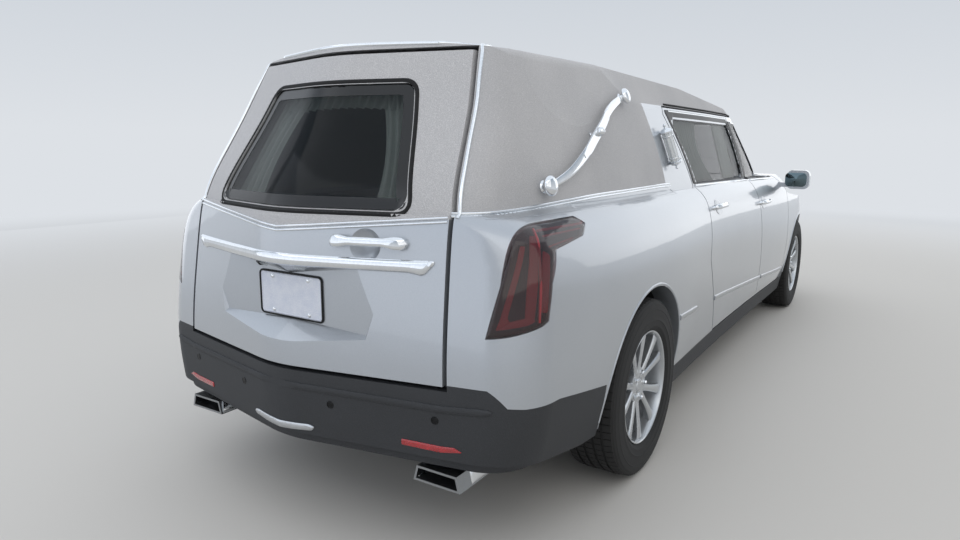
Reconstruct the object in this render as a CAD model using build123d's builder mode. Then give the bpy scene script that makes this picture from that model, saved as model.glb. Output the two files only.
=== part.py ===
from build123d import *
import math
import os

os.makedirs("parts", exist_ok=True)

# Sizes are millimetres. The origin is on the ground, midway along the vehicle; forward is -Y, up is +Z.
# The body is symmetrical, so its solids are made for the left half, x > 0, and mirrored.
LENGTH = 5830
WHEELBASE = 3720
REAR_OVERHANG = 1165
REAR_AXLE_Y = LENGTH / 2 - REAR_OVERHANG
FRONT_AXLE_Y = REAR_AXLE_Y - WHEELBASE
TYRE_R = 376
TYRE_W = 235
RIM_R = 241
WHEEL_X = 816
ARCH_R = 432
WALL = 100
FRAME_WALL = 45
SKIN = 25
GAP = 8
TAILGATE_GAP = 15
BELT_Z = 1160
SILL_TOP = 338
FLOOR_TOP = 300
ROOF_LINE_Z = 1570
HOOD_SKIN = 40
GLASS_IN = 8
GLASS_T = 6
KINGPIN_X = 760
PLATE_W = 305
PLATE_H = 152
PLATE_Y = 2834
PLATE_Z = 856
PLATE_BOLT_X = 177.8
PLATE_BOLT_Z = 121
DECK_Z = 640
DECK_T = 30
DECK_HALF = 560

# Plan outlines: z, haunch x, door x, fender x, corner x, rear y, rear slope, nose y, nose half width, nose depth
LOWER = (
    (225, 872, 858, 872, 830, 2920, 0.20, -2870, 690, 260),
    (480, 925, 892, 925, 885, 2925, 0.20, -2908, 730, 280),
    (720, 942, 908, 940, 890, 2925, 0.21, -2880, 740, 300),
    (940, 932, 903, 924, 880, 2912, 0.235, -2730, 740, 330),
    (1085, 885, 868, 880, 835, 2904, 0.26, -2660, 720, 350),
    (1160, 800, 813, 806, 700, 2888, 0.265, -2640, 690, 360),
)
UPPER = (
    (1040, 786, 801, 796, 690, 2866, 0.26, -1620, 690, 150),
    (1160, 782, 799, 795, 682, 2874, 0.26, -1430, 684, 140),
    (1400, 738, 752, 746, 650, 2745, 0.26, -1050, 640, 130),
    (1620, 668, 682, 674, 592, 2622, 0.26, -715, 590, 120),
    (1820, 590, 604, 597, 515, 2500, 0.26, -430, 535, 110),
)
SIDE_MIDDLE_Y = {"lower": -1900, "upper": -150}
CORNER_R = {"lower": 200, "upper": 150}
SIDE_BELLY_Y = 300
TAIL_NOSE_R = 500
# Roof crown: y, height on the centre line, fall at 1000 from it, half width at the rounded edge
ROOF = ((-1700, 1330, 130, 640), (-780, 1562, 125, 640), (-200, 1668, 120, 677), (700, 1728, 118, 661),
        (1700, 1752, 118, 638), (2300, 1744, 118, 591), (3000, 1712, 118, 480))
ROOF_EDGE_R = 65
# Hood crown: y, height on the centre line, fall at 1000 from it
HOOD = ((-3000, 850, 150), (-2720, 905, 125), (-2300, 985, 100), (-1900, 1045, 90), (-1440, 1092, 90))

# Side view outlines, points as (y, z)
DOOR_FRONT = -1420
FRONT_DOOR = ((DOOR_FRONT, 345), (-618, 345), (-418, 1150), (-208, 1562), (-500, 1562), (-640, 1535),
              (-1290, 1118), (DOOR_FRONT, 1040))
REAR_DOOR = ((-610, 345), (520, 345), (640, 560), (805, 790), (775, 1100), (790, 1178), (1062, 1530),
             (1050, 1562), (-200, 1562), (-410, 1150))
FRONT_GLASS = ((-1165, 1152), (-490, 1164), (-314, 1508), (-610, 1508))
REAR_GLASS = ((-345, 1168), (725, 1182), (985, 1510), (-168, 1510))
TAIL_LAMP = ((2258, 1112), (2288, 1137), (2560, 1134), (2960, 1120), (2960, 790), (2757, 797), (2632, 830),
             (2606, 843), (2579, 957), (2524, 1053), (2326, 1077))
REAR_BUMPER = ((2190, 312), (2310, 319), (2618, 371), (2760, 391), (3000, 391), (3000, 640), (2768, 640),
               (2740, 586), (2700, 580), (2550, 577), (2190, 518))
VALANCE = ((2524, 355), (3000, 355), (3000, 391), (2760, 391), (2618, 371))
FRONT_BUMPER = ((-3000, 200), (-2380, 200), (-2380, 560), (-2500, 690), (-3000, 690))
HEADLAMP = ((-2360, 850), (-2440, 705), (-3000, 705), (-3000, 850), (-2560, 885))
ROOF_SIDE = ((-900, 1540), (-640, 1540), (-560, ROOF_LINE_Z), (3000, ROOF_LINE_Z), (3000, 1900), (-900, 1900))
COACH_PANEL = ((740, 1100), (1172, 1100), (1340, 1600), (900, 1600))
LANDAU_PANEL = ((1172, 1100), (1340, 1600), (3000, 1600), (3000, 1100))
COWL = ((-1800, 1000), (-1300, 1000), (-1180, 1160), (-540, 1600), (-1700, 1600))
# Rear view outlines of the left half, points as (x, z)
TAILGATE = ((-50, 634), (626, 634), (606, 1150), (548, 1500), (508, 1690), (-50, 1690))
TAIL_WINDOW = ((-200, 1167), (462, 1167), (338, 1583), (-200, 1583))
PLATE_RECESS = ((-200, 740), (0, 710), (367, 750), (464, 1000), (-200, 1000))
WINDSCREEN = ((-50, 1105), (640, 1105), (560, 1525), (-50, 1525))
GRILLE = ((-50, 440), (330, 440), (400, 640), (400, 850), (-50, 850))
LAMP_WIDTH = ((752, 780), (980, 780), (980, 1145), (790, 1145), (784, 957))
B_POST = ((758, 290), (768, 700), (702, 1130), (690, 1400), (640, 1560), (610, 1640), (575, 1640), (600, 1540),
          (650, 1390), (662, 1130), (728, 700), (718, 290))
# Plan outline of the hood's left half, points as (x, y)
HOOD_PLAN = ((-50, -1640), (0, -1640), (400, -1590), (690, -1500), (640, -2250), (560, -2560), (0, -2640), (-50, -2640))


def outline(row, inset, kind):
    """The left half of the body's plan outline at the row's height, moved inwards by inset."""
    z, haunch, door, fender, corner, rear, slope, nose, nose_x, nose_d = row
    rear = rear - inset
    nose = nose + inset
    turn = math.atan(slope)
    tail_r = max(TAIL_NOSE_R - inset, 100)
    tail = (0, rear - tail_r * (1 / math.cos(turn) - 1))
    tail_end = (tail_r * math.sin(turn), rear - slope * tail_r * math.sin(turn))
    rear_corner = (corner - inset, rear - slope * (corner - inset))
    haunch_point = (haunch - inset, REAR_AXLE_Y)
    belly = (door - inset, SIDE_BELLY_Y)
    fender_point = (fender - inset, SIDE_MIDDLE_Y[kind])
    front_corner = (nose_x - 0.6 * inset, nose + nose_d)
    behind = ((haunch_point[0] + belly[0]) / 2, (haunch_point[1] + belly[1]) / 2)
    ahead = ((belly[0] + fender_point[0]) / 2, (belly[1] + fender_point[1]) / 2)
    with BuildSketch(Plane.XY.offset(z)) as plan:
        with BuildLine():
            TangentArc(tail, tail_end, tangent=(1, 0))
            Line(tail_end, rear_corner)
            TangentArc(haunch_point, rear_corner, tangent=(0, 1))
            first = TangentArc(haunch_point, behind, tangent=(0, -1))
            TangentArc(behind, belly, tangent=first % 1)
            second = TangentArc(belly, ahead, tangent=(0, -1))
            TangentArc(ahead, fender_point, tangent=second % 1)
            TangentArc(fender_point, front_corner, tangent=(0, -1))
            TangentArc((0, nose), front_corner, tangent=(1, 0))
            Line((0, nose), tail)
        make_face()
        corners = [plan.vertices().sort_by_distance((x, y, z))[0] for x, y in (rear_corner, front_corner)]
        fillet(corners, radius=max(CORNER_R[kind] - inset, 25))
    return plan.sketch


def body_loft(rows, inset, kind, lowest=None):
    """A half solid through the plan outlines; lowest replaces the first height."""
    with BuildPart() as solid:
        for number, row in enumerate(rows):
            if number == 0 and lowest is not None:
                row = (lowest,) + row[1:]
            add(outline(row, inset, kind))
        loft()
    return solid.part


def under_roof(lower_by):
    """The half space under the roof's crown, rounded along its edge."""
    with BuildPart() as solid:
        for y, height, fall, edge in ROOF:
            z = height - lower_by
            edge = edge - lower_by
            edge_z = z - fall * (edge / 1000) ** 2
            with BuildSketch(Plane(origin=(0, y, 0), x_dir=(1, 0, 0), z_dir=(0, -1, 0))) as face:
                with BuildLine():
                    TangentArc((0, z), (edge, edge_z), tangent=(1, 0))
                    Polyline((edge, edge_z), (edge + 0.4 * (edge_z - 600), 600), (0, 600), (0, z))
                make_face()
                fillet(face.vertices().sort_by_distance((edge, y, edge_z))[0], radius=ROOF_EDGE_R - lower_by / 2)
        loft(ruled=True)
    return solid.part


def over_hood(lower_by):
    """The half space over the hood's crown."""
    with BuildPart() as solid:
        for y, height, fall in HOOD:
            z = height - lower_by
            with BuildSketch(Plane(origin=(0, y, 0), x_dir=(1, 0, 0), z_dir=(0, -1, 0))):
                with BuildLine():
                    TangentArc((0, z), (1000, z - fall), tangent=(1, 0))
                    Polyline((1000, z - fall), (1000, 1400), (0, 1400), (0, z))
                make_face()
        loft(ruled=True)
    return solid.part


def prism(plane, points, depth, radius=0):
    """An outline on a plane made solid over depth, its corners rounded when a radius is given."""
    with BuildPart() as solid:
        with BuildSketch(plane) as face:
            with BuildLine():
                Polyline(*points, close=True)
            make_face()
            if radius:
                fillet(face.vertices(), radius=radius)
        extrude(amount=depth)
    return solid.part


def side_prism(points, x0, x1, radius=0):
    """A solid from an outline in the side view, points as (y, z), between two x values."""
    return prism(Plane(origin=(x0, 0, 0), x_dir=(0, 1, 0), z_dir=(1, 0, 0)), points, x1 - x0, radius)


def back_prism(points, y0, y1, radius=0):
    """A solid from an outline in the rear view, points as (x, z), between two y values."""
    return prism(Plane(origin=(0, y0, 0), x_dir=(1, 0, 0), z_dir=(0, -1, 0)), points, y0 - y1, radius)


def plan_prism(points, z0, z1, radius=0):
    """A solid from a plan outline, points as (x, y), between two heights."""
    return prism(Plane.XY.offset(z0), points, z1 - z0, radius)


def block(x, y, z):
    """A box from its low and high x, y and z."""
    with BuildPart() as solid:
        with Locations(((x[0] + x[1]) / 2, (y[0] + y[1]) / 2, (z[0] + z[1]) / 2)):
            Box(x[1] - x[0], y[1] - y[0], z[1] - z[0])
    return solid.part


def grown(points, by):
    """The outline moved outwards by the given distance, inwards when it is negative."""
    count = len(points)
    turn = sum(points[i - 1][0] * points[i][1] - points[i][0] * points[i - 1][1] for i in range(count))
    by = by if turn > 0 else -by
    moved = []
    for i in range(count):
        before, here, after = points[i - 1], points[i], points[(i + 1) % count]
        a = Vector(here[0] - before[0], here[1] - before[1]).normalized()
        b = Vector(after[0] - here[0], after[1] - here[1]).normalized()
        step = by / (1 + a.X * b.X + a.Y * b.Y)
        moved.append((here[0] + step * (a.Y + b.Y), here[1] - step * (a.X + b.X)))
    return moved


def largest(shape):
    """The largest solid of a shape, without the slivers that a cut leaves."""
    return shape.solids().sort_by(SortBy.VOLUME)[-1]


def save(part, node):
    """Writes one node's STEP file."""
    part.label = node
    export_step(part, "parts/" + node + ".step")


def save_both(part, node):
    """Writes a left piece and its mirror image on the right."""
    with BuildPart() as right:
        mirror(part, about=Plane.YZ)
    save(part, node + "_left")
    save(right.part, node + "_right")


def whole(half):
    """A piece of the centre line or a pair, from its left half."""
    with BuildPart() as both:
        add(half)
        mirror(about=Plane.YZ)
    return both.part


# The hull, a thin skin for what shuts, the hollow inside and a glass layer
outer_low = body_loft(LOWER, 0, "lower")
outer_top = body_loft(UPPER, 0, "upper") & under_roof(0)
outer = (outer_low - over_hood(0)) + outer_top
skin_low = body_loft(LOWER, SKIN, "lower")
skin_cavity = skin_low + (body_loft(UPPER, SKIN, "upper") & under_roof(SKIN))
inner_low = body_loft(LOWER, WALL, "lower", FLOOR_TOP) - over_hood(HOOD_SKIN)
inner_top = body_loft(UPPER, FRAME_WALL, "upper") & under_roof(FRAME_WALL)
cavity = inner_low + inner_top
glass_shell = body_loft(UPPER, GLASS_IN, "upper") - body_loft(UPPER, GLASS_IN + GLASS_T, "upper")
full_wall = outer - cavity

arches = Part()
for axle_y in (FRONT_AXLE_Y, REAR_AXLE_Y):
    with BuildPart() as arch:
        with Locations((820, axle_y, TYRE_R)):
            Cylinder(ARCH_R, 360, rotation=(0, 90, 0))
    arches += arch.part

tailgate_hole = back_prism(grown(TAILGATE, TAILGATE_GAP), 2150, 3000)
rear_wall = full_wall & block((0, 1000), (1160, 3000), (225, 1900))
rear_body = rear_wall - tailgate_hole - arches
side_wall = full_wall & block((400, 1000), (-1560, 1400), (225, 1900))
side_body = side_wall - side_prism(grown(FRONT_DOOR, GAP), 400, 1100) - side_prism(grown(REAR_DOOR, GAP), 400, 1100)
front_wall = full_wall & block((0, 1000), (-3000, DOOR_FRONT - GAP), (200, BELT_Z))
front_body = front_wall - arches
side_skin = side_wall - skin_cavity
rear_skin = (rear_wall & block((0, 1000), (2100, 3000), (300, 1900))) - skin_cavity
front_skin = front_wall - skin_cavity

# Roof, upper side panels and pillars
upper_side = side_body & block((0, 1000), (-1600, 1160), (BELT_Z, 1900))
upper_rear = rear_body & block((0, 1000), (1160, 3000), (BELT_Z, 1900))
upper = full_wall & block((0, 1000), (-1000, 1160), (BELT_Z, 1900))
roof_space = side_prism(ROOF_SIDE, 0, 1000)
save(whole((upper & roof_space) + (upper_rear & roof_space)), "roof")
save(whole(upper_rear & side_prism(LANDAU_PANEL, 300, 1000) - roof_space), "landau_panels")
coach_half = (upper_side + upper_rear) & side_prism(COACH_PANEL, 300, 1000) - roof_space
save(whole(coach_half), "coach_panels")

cowl_shelf = outer & block((0, 1000), (-1470, -1300), (1060, 1160))
cowl_wall = (full_wall & block((0, 1000), (-1800, -500), (1000, 1600))) + cowl_shelf
cowl_wall = cowl_wall & side_prism(COWL, 0, 1000)
cowl_wall = cowl_wall - roof_space - side_prism(grown(FRONT_DOOR, GAP), 400, 1100)
hood_space = plan_prism(grown(HOOD_PLAN, GAP), 700, 1300)
cowl_half = largest(cowl_wall - back_prism(WINDSCREEN, -500, -2200) - hood_space)
save(whole(cowl_half), "cowl")
save(whole(glass_shell & back_prism(WINDSCREEN, -500, -2200) & block((0, 1000), (-2200, -500), (1000, 1600))),
     "windscreen")

# Rear lower body, lamps and bumper
lamp_space = side_prism(TAIL_LAMP, 600, 1000) & back_prism(LAMP_WIDTH, 3000, 2200)
tail_lamp = rear_skin & lamp_space
save(whole(tail_lamp), "tail_lamps")
bumper_space = side_prism(REAR_BUMPER, 0, 1000) + side_prism(VALANCE, 0, 1000)
quarter_side = side_body & block((400, 1000), (500, 1160), (SILL_TOP, BELT_Z))
quarter_rear = rear_body & block((0, 1000), (1160, 3000), (SILL_TOP, BELT_Z))
tail_end = bumper_space + block((0, 560), (2500, 3000), (300, 640))
quarter_half = largest(quarter_side + (quarter_rear - tail_end - tail_lamp))
save_both(quarter_half, "quarter")
bumper_half = (rear_body & side_prism(REAR_BUMPER, 0, 1000))
valance_half = ((skin_low - inner_low) & side_prism(VALANCE, 0, 1000)) - arches
save(whole(bumper_half + valance_half), "rear_bumper")

# Sills and front body
sill_half = full_wall & block((770, 1000), (-1560, 1330), (225, SILL_TOP)) - arches
save(whole(sill_half), "sills")
lamp_front = side_prism(HEADLAMP, 450, 1000)
headlamp = front_skin & lamp_front
save(whole(headlamp), "headlamps")
grille_space = back_prism(GRILLE, -2600, -3000)
save(whole(front_skin & grille_space), "grille")
front_bumper_space = side_prism(FRONT_BUMPER, 0, 1000) + block((0, 450), (-3200, -2560), (690, 1000))
fender_half = front_body & block((0, 1000), (-3200, 0), (SILL_TOP, BELT_Z))
fender_half = largest(fender_half - hood_space - front_bumper_space - headlamp - grille_space - cowl_half)
save_both(fender_half, "fender")
front_bumper_half = (front_body & front_bumper_space) - grille_space - headlamp - hood_space
save(whole(largest(front_bumper_half)), "front_bumper")
hood_half = (front_wall & plan_prism(HOOD_PLAN, 700, 1300)) & block((0, 1000), (-3000, -1400), (860, 1300))
save(whole(hood_half), "hood")

# Doors of the left side: the outer skin and a smaller inner shell, with the window cut
for place, shape, window in (("front", FRONT_DOOR, FRONT_GLASS), ("rear", REAR_DOOR, REAR_GLASS)):
    with BuildPart() as leaf:
        add(side_skin & side_prism(shape, 400, 1100))
        add(side_wall & side_prism(grown(shape, -22), 400, 1100))
        add(side_prism(window, 400, 1100, 30), mode=Mode.SUBTRACT)
    save_both(largest(leaf.part), place + "_door")
    with BuildPart() as pane:
        add(glass_shell & side_prism(window, 400, 1100, 30))
    save_both(pane.part, place + "_door_glass")

# Tailgate, hinged on its left edge, with the sloping sides of the plate recess and the cup behind the handle
CUP_R = 72
HANDLE_CUP = (-350, 2816 + 48, 1064)
with BuildPart() as recess:
    with BuildSketch(Plane(origin=(0, 2925, 0), x_dir=(0.9806, -0.1961, 0), z_dir=(-0.1961, -0.9806, 0))):
        Polygon(*PLATE_RECESS, align=None)
    extrude(amount=110, taper=35)
    add(block((-300, 600), (PLATE_Y, 3000), (600, 1100)), mode=Mode.INTERSECT)
with BuildPart() as tailgate:
    add(rear_skin & back_prism(TAILGATE, 3000, 2150, 0))
    add(rear_wall & back_prism(grown(TAILGATE, -24), 3000, 2150))
    add(back_prism(TAIL_WINDOW, 3000, 2000, 45), mode=Mode.SUBTRACT)
    add(recess.part, mode=Mode.SUBTRACT)
    mirror(about=Plane.YZ)
    with Locations(HANDLE_CUP):
        Sphere(CUP_R, mode=Mode.SUBTRACT)
    with Locations(Plane(origin=(0, PLATE_Y, PLATE_Z), x_dir=(1, 0, 0), z_dir=(0, 1, 0))):
        with GridLocations(PLATE_BOLT_X, PLATE_BOLT_Z, 2, 2):
            Cylinder(3.2, 60, mode=Mode.SUBTRACT)
save(tailgate.part, "tailgate")
tail_glass = glass_shell & block((0, 1000), (2200, 3000), (1000, 1900)) & back_prism(TAIL_WINDOW, 3000, 2000, 45)
save(whole(tail_glass), "tailgate_glass")

with BuildPart() as number_plate:
    with Locations(Plane(origin=(0, PLATE_Y + 2, PLATE_Z), x_dir=(1, 0, 0), z_dir=(0, 1, 0))):
        Box(PLATE_W, PLATE_H, 4)
        with GridLocations(PLATE_BOLT_X, PLATE_BOLT_Z, 2, 2):
            Cylinder(3.5, 10, mode=Mode.SUBTRACT)
save(number_plate.part, "number_plate")

trim_shell = body_loft(LOWER[3:], -9, "lower") - outer_low
BELT_TRIM = ((-50, 1086), (0, 1086), (600, 1136), (600, 1148), (0, 1098), (-50, 1098))
BAR_TRIM = ((-50, 992), (540, 992), (560, 985), (590, 985), (570, 1010), (-50, 1010))
with BuildPart() as tailgate_trim:
    add(trim_shell & back_prism(BELT_TRIM, 3000, 2300))
    add(trim_shell & back_prism(BAR_TRIM, 3000, 2300))
    mirror(about=Plane.YZ)
save(tailgate_trim.part, "tailgate_trim")

DRAPE = ((0, 1505), (90, 1500), (250, 1380), (330, 1172), (470, 1172), (400, 1400), (345, 1600), (0, 1600))
curtain_shell = Pos(0, -5, 0) * inner_top - Pos(0, -17, 0) * inner_top
with BuildPart() as tailgate_curtain:
    add(curtain_shell & back_prism(DRAPE, 3000, 2300))
    mirror(about=Plane.YZ)
save(tailgate_curtain.part, "tailgate_curtain")
side_shell = Pos(-10, 0, 0) * inner_top - Pos(-22, 0, 0) * inner_top
SIDE_DRAPE = ((-300, 1172), (1140, 1172), (1140, 1560), (-300, 1560))
save(whole(side_shell & side_prism(SIDE_DRAPE, 300, 1000)), "side_curtains")

# Floor, with firewall, rails, rear floor and door posts
with BuildPart() as floor_half:
    add(full_wall & block((0, 770), (-1500, 1320), (225, FLOOR_TOP)))
    add(block((0, 840), (-1500, -1475), (FLOOR_TOP, 1030)) & cavity)
    add(block((0, 840), (1290, 1320), (FLOOR_TOP, 540)) & cavity)
    add(block((0, 840), (1320, 2790), (500, 540)) & cavity)
    add(block((350, 430), (-2600, -1500), (430, 530)) & cavity)
    add(block((380, 460), (2180, 2700), (400, 500)) & cavity)
    add(back_prism(B_POST, -390, -470) & cavity)
    add(arches, mode=Mode.SUBTRACT)
floor_pan = whole(largest(floor_half.part))
save(floor_pan, "floor_pan")

with BuildPart() as wheelhouse:
    with Locations((740, REAR_AXLE_Y, TYRE_R)):
        Cylinder(ARCH_R + 12, 220, rotation=(0, 90, 0))
    add(arches, mode=Mode.SUBTRACT)
    add(block((0, 1000), (0, 3000), (-200, 330)), mode=Mode.SUBTRACT)
    add(cavity, mode=Mode.INTERSECT)
    add(floor_half.part, mode=Mode.SUBTRACT)
save(whole(largest(wheelhouse.part)), "wheelhouses")

# Casket deck with roller pockets, legs and the partition behind the front seats
ROLLER_R = 22
ROLLER_YS = (250, 800, 1350, 1900, 2350)
with BuildPart() as casket_deck:
    add(block((0, DECK_HALF), (-40, 2600), (DECK_Z - DECK_T, DECK_Z)))
    add(block((300, 340), (1320, 2560), (540, DECK_Z - DECK_T)))
    add(block((300, 340), (-40, 1290), (FLOOR_TOP, DECK_Z - DECK_T)))
    add(block((0, 640), (-90, -60), (FLOOR_TOP, 1080)))
    add(block((0, DECK_HALF), (-60, -40), (FLOOR_TOP, DECK_Z)))
    for y in ROLLER_YS:
        add(block((170, 290), (y - 32, y + 32), (DECK_Z - 24, DECK_Z + 5)), mode=Mode.SUBTRACT)
    mirror(about=Plane.YZ)
save(casket_deck.part, "casket_deck")

with BuildPart() as deck_rollers:
    with Locations(*[(230, y, DECK_Z - 2) for y in ROLLER_YS]):
        Cylinder(ROLLER_R - 4, 110, rotation=(0, 90, 0))
        Cylinder(5, 120, rotation=(0, 90, 0))
    mirror(about=Plane.YZ)
save(deck_rollers.part, "deck_rollers")

# Engine, dashboard, steering wheel and seats
save(block((-330, 330), (-2560, -1640), (400, 860)), "engine_block")
DASH = ((-1475, 700), (-1475, 990), (-1330, 1000), (-1150, 940), (-1120, 880), (-1160, 760), (-1260, 700))
dash_half = side_prism(DASH, 0, 700) + block((0, 110), (-1475, -700), (FLOOR_TOP, 560))
dash_half = dash_half + block((0, 110), (-1320, -1220), (540, 740))
save(whole(dash_half & cavity), "dashboard")

WHEEL_PLACE = Plane(origin=(370, -930, 905), x_dir=(1, 0, 0), z_dir=(0, 0.88, 0.47))
with BuildPart() as steering_wheel:
    with BuildSketch(Plane(WHEEL_PLACE.origin, x_dir=(1, 0, 0), z_dir=WHEEL_PLACE.y_dir)) as rim_ring:
        with Locations((180, 0)):
            Circle(14)
    revolve(axis=Axis(WHEEL_PLACE.origin, WHEEL_PLACE.z_dir))
    with BuildSketch(WHEEL_PLACE.offset(-8)):
        Circle(55)
        with PolarLocations(90, 3, start_angle=-90):
            Rectangle(170, 30)
    extrude(amount=16)
    with BuildSketch(WHEEL_PLACE.offset(-170)):
        Circle(26)
    extrude(amount=165)
    add(whole(dash_half), mode=Mode.SUBTRACT)
save(steering_wheel.part, "steering_wheel")

SEAT_CUSHION = ((-880, 420), (-900, 480), (-870, 560), (-420, 530), (-360, 480), (-370, 420))
SEAT_BACK = ((-420, 535), (-350, 470), (-300, 540), (-170, 1120), (-200, 1180), (-260, 1180), (-300, 1130),
             (-410, 640))
SEAT_HEAD = ((-250, 1215), (-190, 1225), (-160, 1330), (-185, 1400), (-240, 1400), (-265, 1330))
with BuildPart() as front_seats:
    for points, half_width, soft in ((SEAT_CUSHION, 255, 25), (SEAT_BACK, 245, 22), (SEAT_HEAD, 125, 18)):
        add(side_prism(points, 385 - half_width, 385 + half_width, soft))
    add(block((205, 565), (-800, -420), (FLOOR_TOP, 425)))
    add(side_prism(((-222, 1170), (-212, 1170), (-205, 1225), (-215, 1225)), 330, 440))
    mirror(about=Plane.YZ)
save(front_seats.part, "front_seats")

# Bright trim outside
with BuildPart() as belt_mouldings:
    add(outline(UPPER[1], -12, "upper"))
    extrude(amount=18)
    add(outer_top, mode=Mode.SUBTRACT)
    add(block((0, 1000), (-3000, 1262), (0, 2000)), mode=Mode.SUBTRACT)
    add(back_prism(grown(TAILGATE, TAILGATE_GAP), 3100, 2150), mode=Mode.SUBTRACT)
    mirror(about=Plane.YZ)
save(belt_mouldings.part, "belt_mouldings")

BAR_LOW = (766, 2342, 1231)
BAR_MID = (776, 1954, 1401)
BAR_HIGH = (732, 1590, 1556)
with BuildPart() as landau_bars:
    for ends in ((BAR_LOW, (774, 2130, 1262), BAR_MID), (BAR_MID, (762, 1760, 1535), BAR_HIGH)):
        with BuildLine() as path:
            ThreePointArc(*ends)
        with BuildSketch(Plane(origin=ends[0], z_dir=path.line % 0)):
            Circle(10)
        sweep(path=path.line)
    for x, y, z in (BAR_LOW, BAR_HIGH):
        with Locations((x - 15, y, z)):
            Cylinder(34, 50, rotation=(0, 90, 0))
    with BuildSketch(Plane(origin=(BAR_MID[0] - 40, BAR_MID[1], BAR_MID[2]), x_dir=(0, 1, 0), z_dir=(1, 0, 0))):
        RegularPolygon(38, 6)
    extrude(amount=58)
    add(outer_top, mode=Mode.SUBTRACT)
landau_half = largest(landau_bars.part)
save(whole(landau_half), "landau_bars")

LAMP = ((0, -110), (4, -110), (10, -100), (6, -92), (16, -84), (24, -70), (34, -62), (34, 58), (26, 68), (18, 84),
        (8, 92), (11, 100), (4, 112), (0, 112))
LAMP_X = 810
with BuildPart() as coach_lamp:
    add(block((740, LAMP_X - 10), (1118, 1142), (1330, 1370)))
    add(outer_top, mode=Mode.SUBTRACT)
    with BuildSketch(Plane(origin=(LAMP_X, 1130, 1350), x_dir=(0, 1, 0), z_dir=(1, 0, 0))):
        with BuildLine():
            Polyline(*LAMP, close=True)
        make_face()
    revolve(axis=Axis((LAMP_X, 1130, 1350), (0, 0, 1)))
save(whole(coach_lamp.part), "coach_lamps")

with BuildPart() as door_mirror:
    with BuildSketch(Plane(origin=(1008, -1225, 1130), x_dir=(1, 0, 0), z_dir=(0, -1, 0))):
        RectangleRounded(154, 140, 38)
    extrude(amount=70)
    extrude(door_mirror.faces().sort_by(Axis.Y)[0], amount=50, taper=32)
    add(block((840, 960), (-1290, -1250), (1072, 1106)))
    add(outer, mode=Mode.SUBTRACT)
save_both(largest(door_mirror.part), "mirror")

# Exhaust and running gear
TIP = ((499, 286), (686, 286), (672, 340), (513, 340))
with BuildPart() as exhaust:
    add(back_prism(TIP, 2790, 2560))
    add(back_prism(grown(TIP, -8), 2800, 2600), mode=Mode.SUBTRACT)
    add(block((480, 600), (2240, 2540), (240, 340)))
    add(block((540, 590), (2530, 2570), (292, 332)))
    add(block((20, 480), (2330, 2380), (250, 300)))
    mirror(about=Plane.YZ)
    add(block((-25, 25), (-1200, 2380), (165, 215)))
    add(block((-25, 25), (2330, 2380), (165, 300)))
save(exhaust.part, "exhaust")

LINK = ((330, -150), (690, -28), (690, 28), (330, 150))
with BuildPart() as subframes:
    for axle_y in (FRONT_AXLE_Y, REAR_AXLE_Y):
        add(block((0, 330), (axle_y - 190, axle_y + 190), (246, 385)))
        add(plan_prism([(x, axle_y + y) for x, y in LINK], 246, 274))
    add(block((648, 690), (REAR_AXLE_Y - 70, REAR_AXLE_Y + 70), (274, 500)))
    with Locations((723, REAR_AXLE_Y, TYRE_R)):
        Cylinder(55, 76, rotation=(0, 90, 0))
    mirror(about=Plane.YZ)
save(subframes.part, "subframes")

with BuildPart() as knuckle:
    add(block((640, 720), (FRONT_AXLE_Y - 70, FRONT_AXLE_Y + 70), (280, 520)))
    with Locations((735, FRONT_AXLE_Y, TYRE_R)):
        Cylinder(55, 52, rotation=(0, 90, 0))
save_both(knuckle.part, "knuckle")

# Wheels, as x from the inner tyre wall and radius
TYRE = ((1, 300), (0, 340), (8, 358), (30, 370), (62, TYRE_R), (173, TYRE_R), (205, 370), (227, 358), (235, 340),
        (234, 300), (218, RIM_R), (17, RIM_R))
BARREL = ((17, RIM_R), (218, RIM_R), (222, RIM_R - 5), (218, 222), (206, 207), (90, 200), (17, 222))
HUB = ((68, 0), (68, 78), (110, 78), (172, 74), (186, 44), (186, 0))
WHEEL_INNER = WHEEL_X - TYRE_W / 2
SPOKE = ((40, -24), (207, -17), (207, 17), (40, 9))
for place, axle_y in (("front", FRONT_AXLE_Y), ("rear", REAR_AXLE_Y)):
    centre = Plane(origin=(WHEEL_INNER, axle_y, TYRE_R), x_dir=(1, 0, 0), z_dir=(0, -1, 0))
    with BuildPart() as tyre:
        with BuildSketch(centre):
            with BuildLine():
                Polyline(*TYRE, close=True)
            make_face()
        revolve(axis=Axis(centre.origin, centre.x_dir))
    save_both(tyre.part, place + "_tyre")
    with BuildPart() as rim:
        for profile in (BARREL, HUB):
            with BuildSketch(centre):
                with BuildLine():
                    Polyline(*profile, close=True)
                make_face()
            revolve(axis=Axis(centre.origin, centre.x_dir))
        spoke_face = Plane(origin=(WHEEL_INNER + 168, axle_y, TYRE_R), x_dir=(0, 1, 0), z_dir=(1, 0, 0))
        with BuildSketch(spoke_face):
            for side in (-10, 10):
                with PolarLocations(0, 5, start_angle=90 + side):
                    Polygon(*SPOKE, align=None)
        extrude(amount=34)
    save_both(rim.part, place + "_rim")
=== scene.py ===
"""Looks of a landau-roofed hearse: finishes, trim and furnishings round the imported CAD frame, in metres.

The vehicle's right-hand side is at -X, its nose at -Y and up is +Z. The origin is on the ground midway.
"""

import logging
import math
from dataclasses import dataclass, field
from enum import Enum
from typing import Callable, Iterable, Sequence

import bmesh
import bpy
from mathutils import Matrix, Vector
from mathutils.bvhtree import BVHTree
from mathutils.geometry import delaunay_2d_cdt


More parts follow.
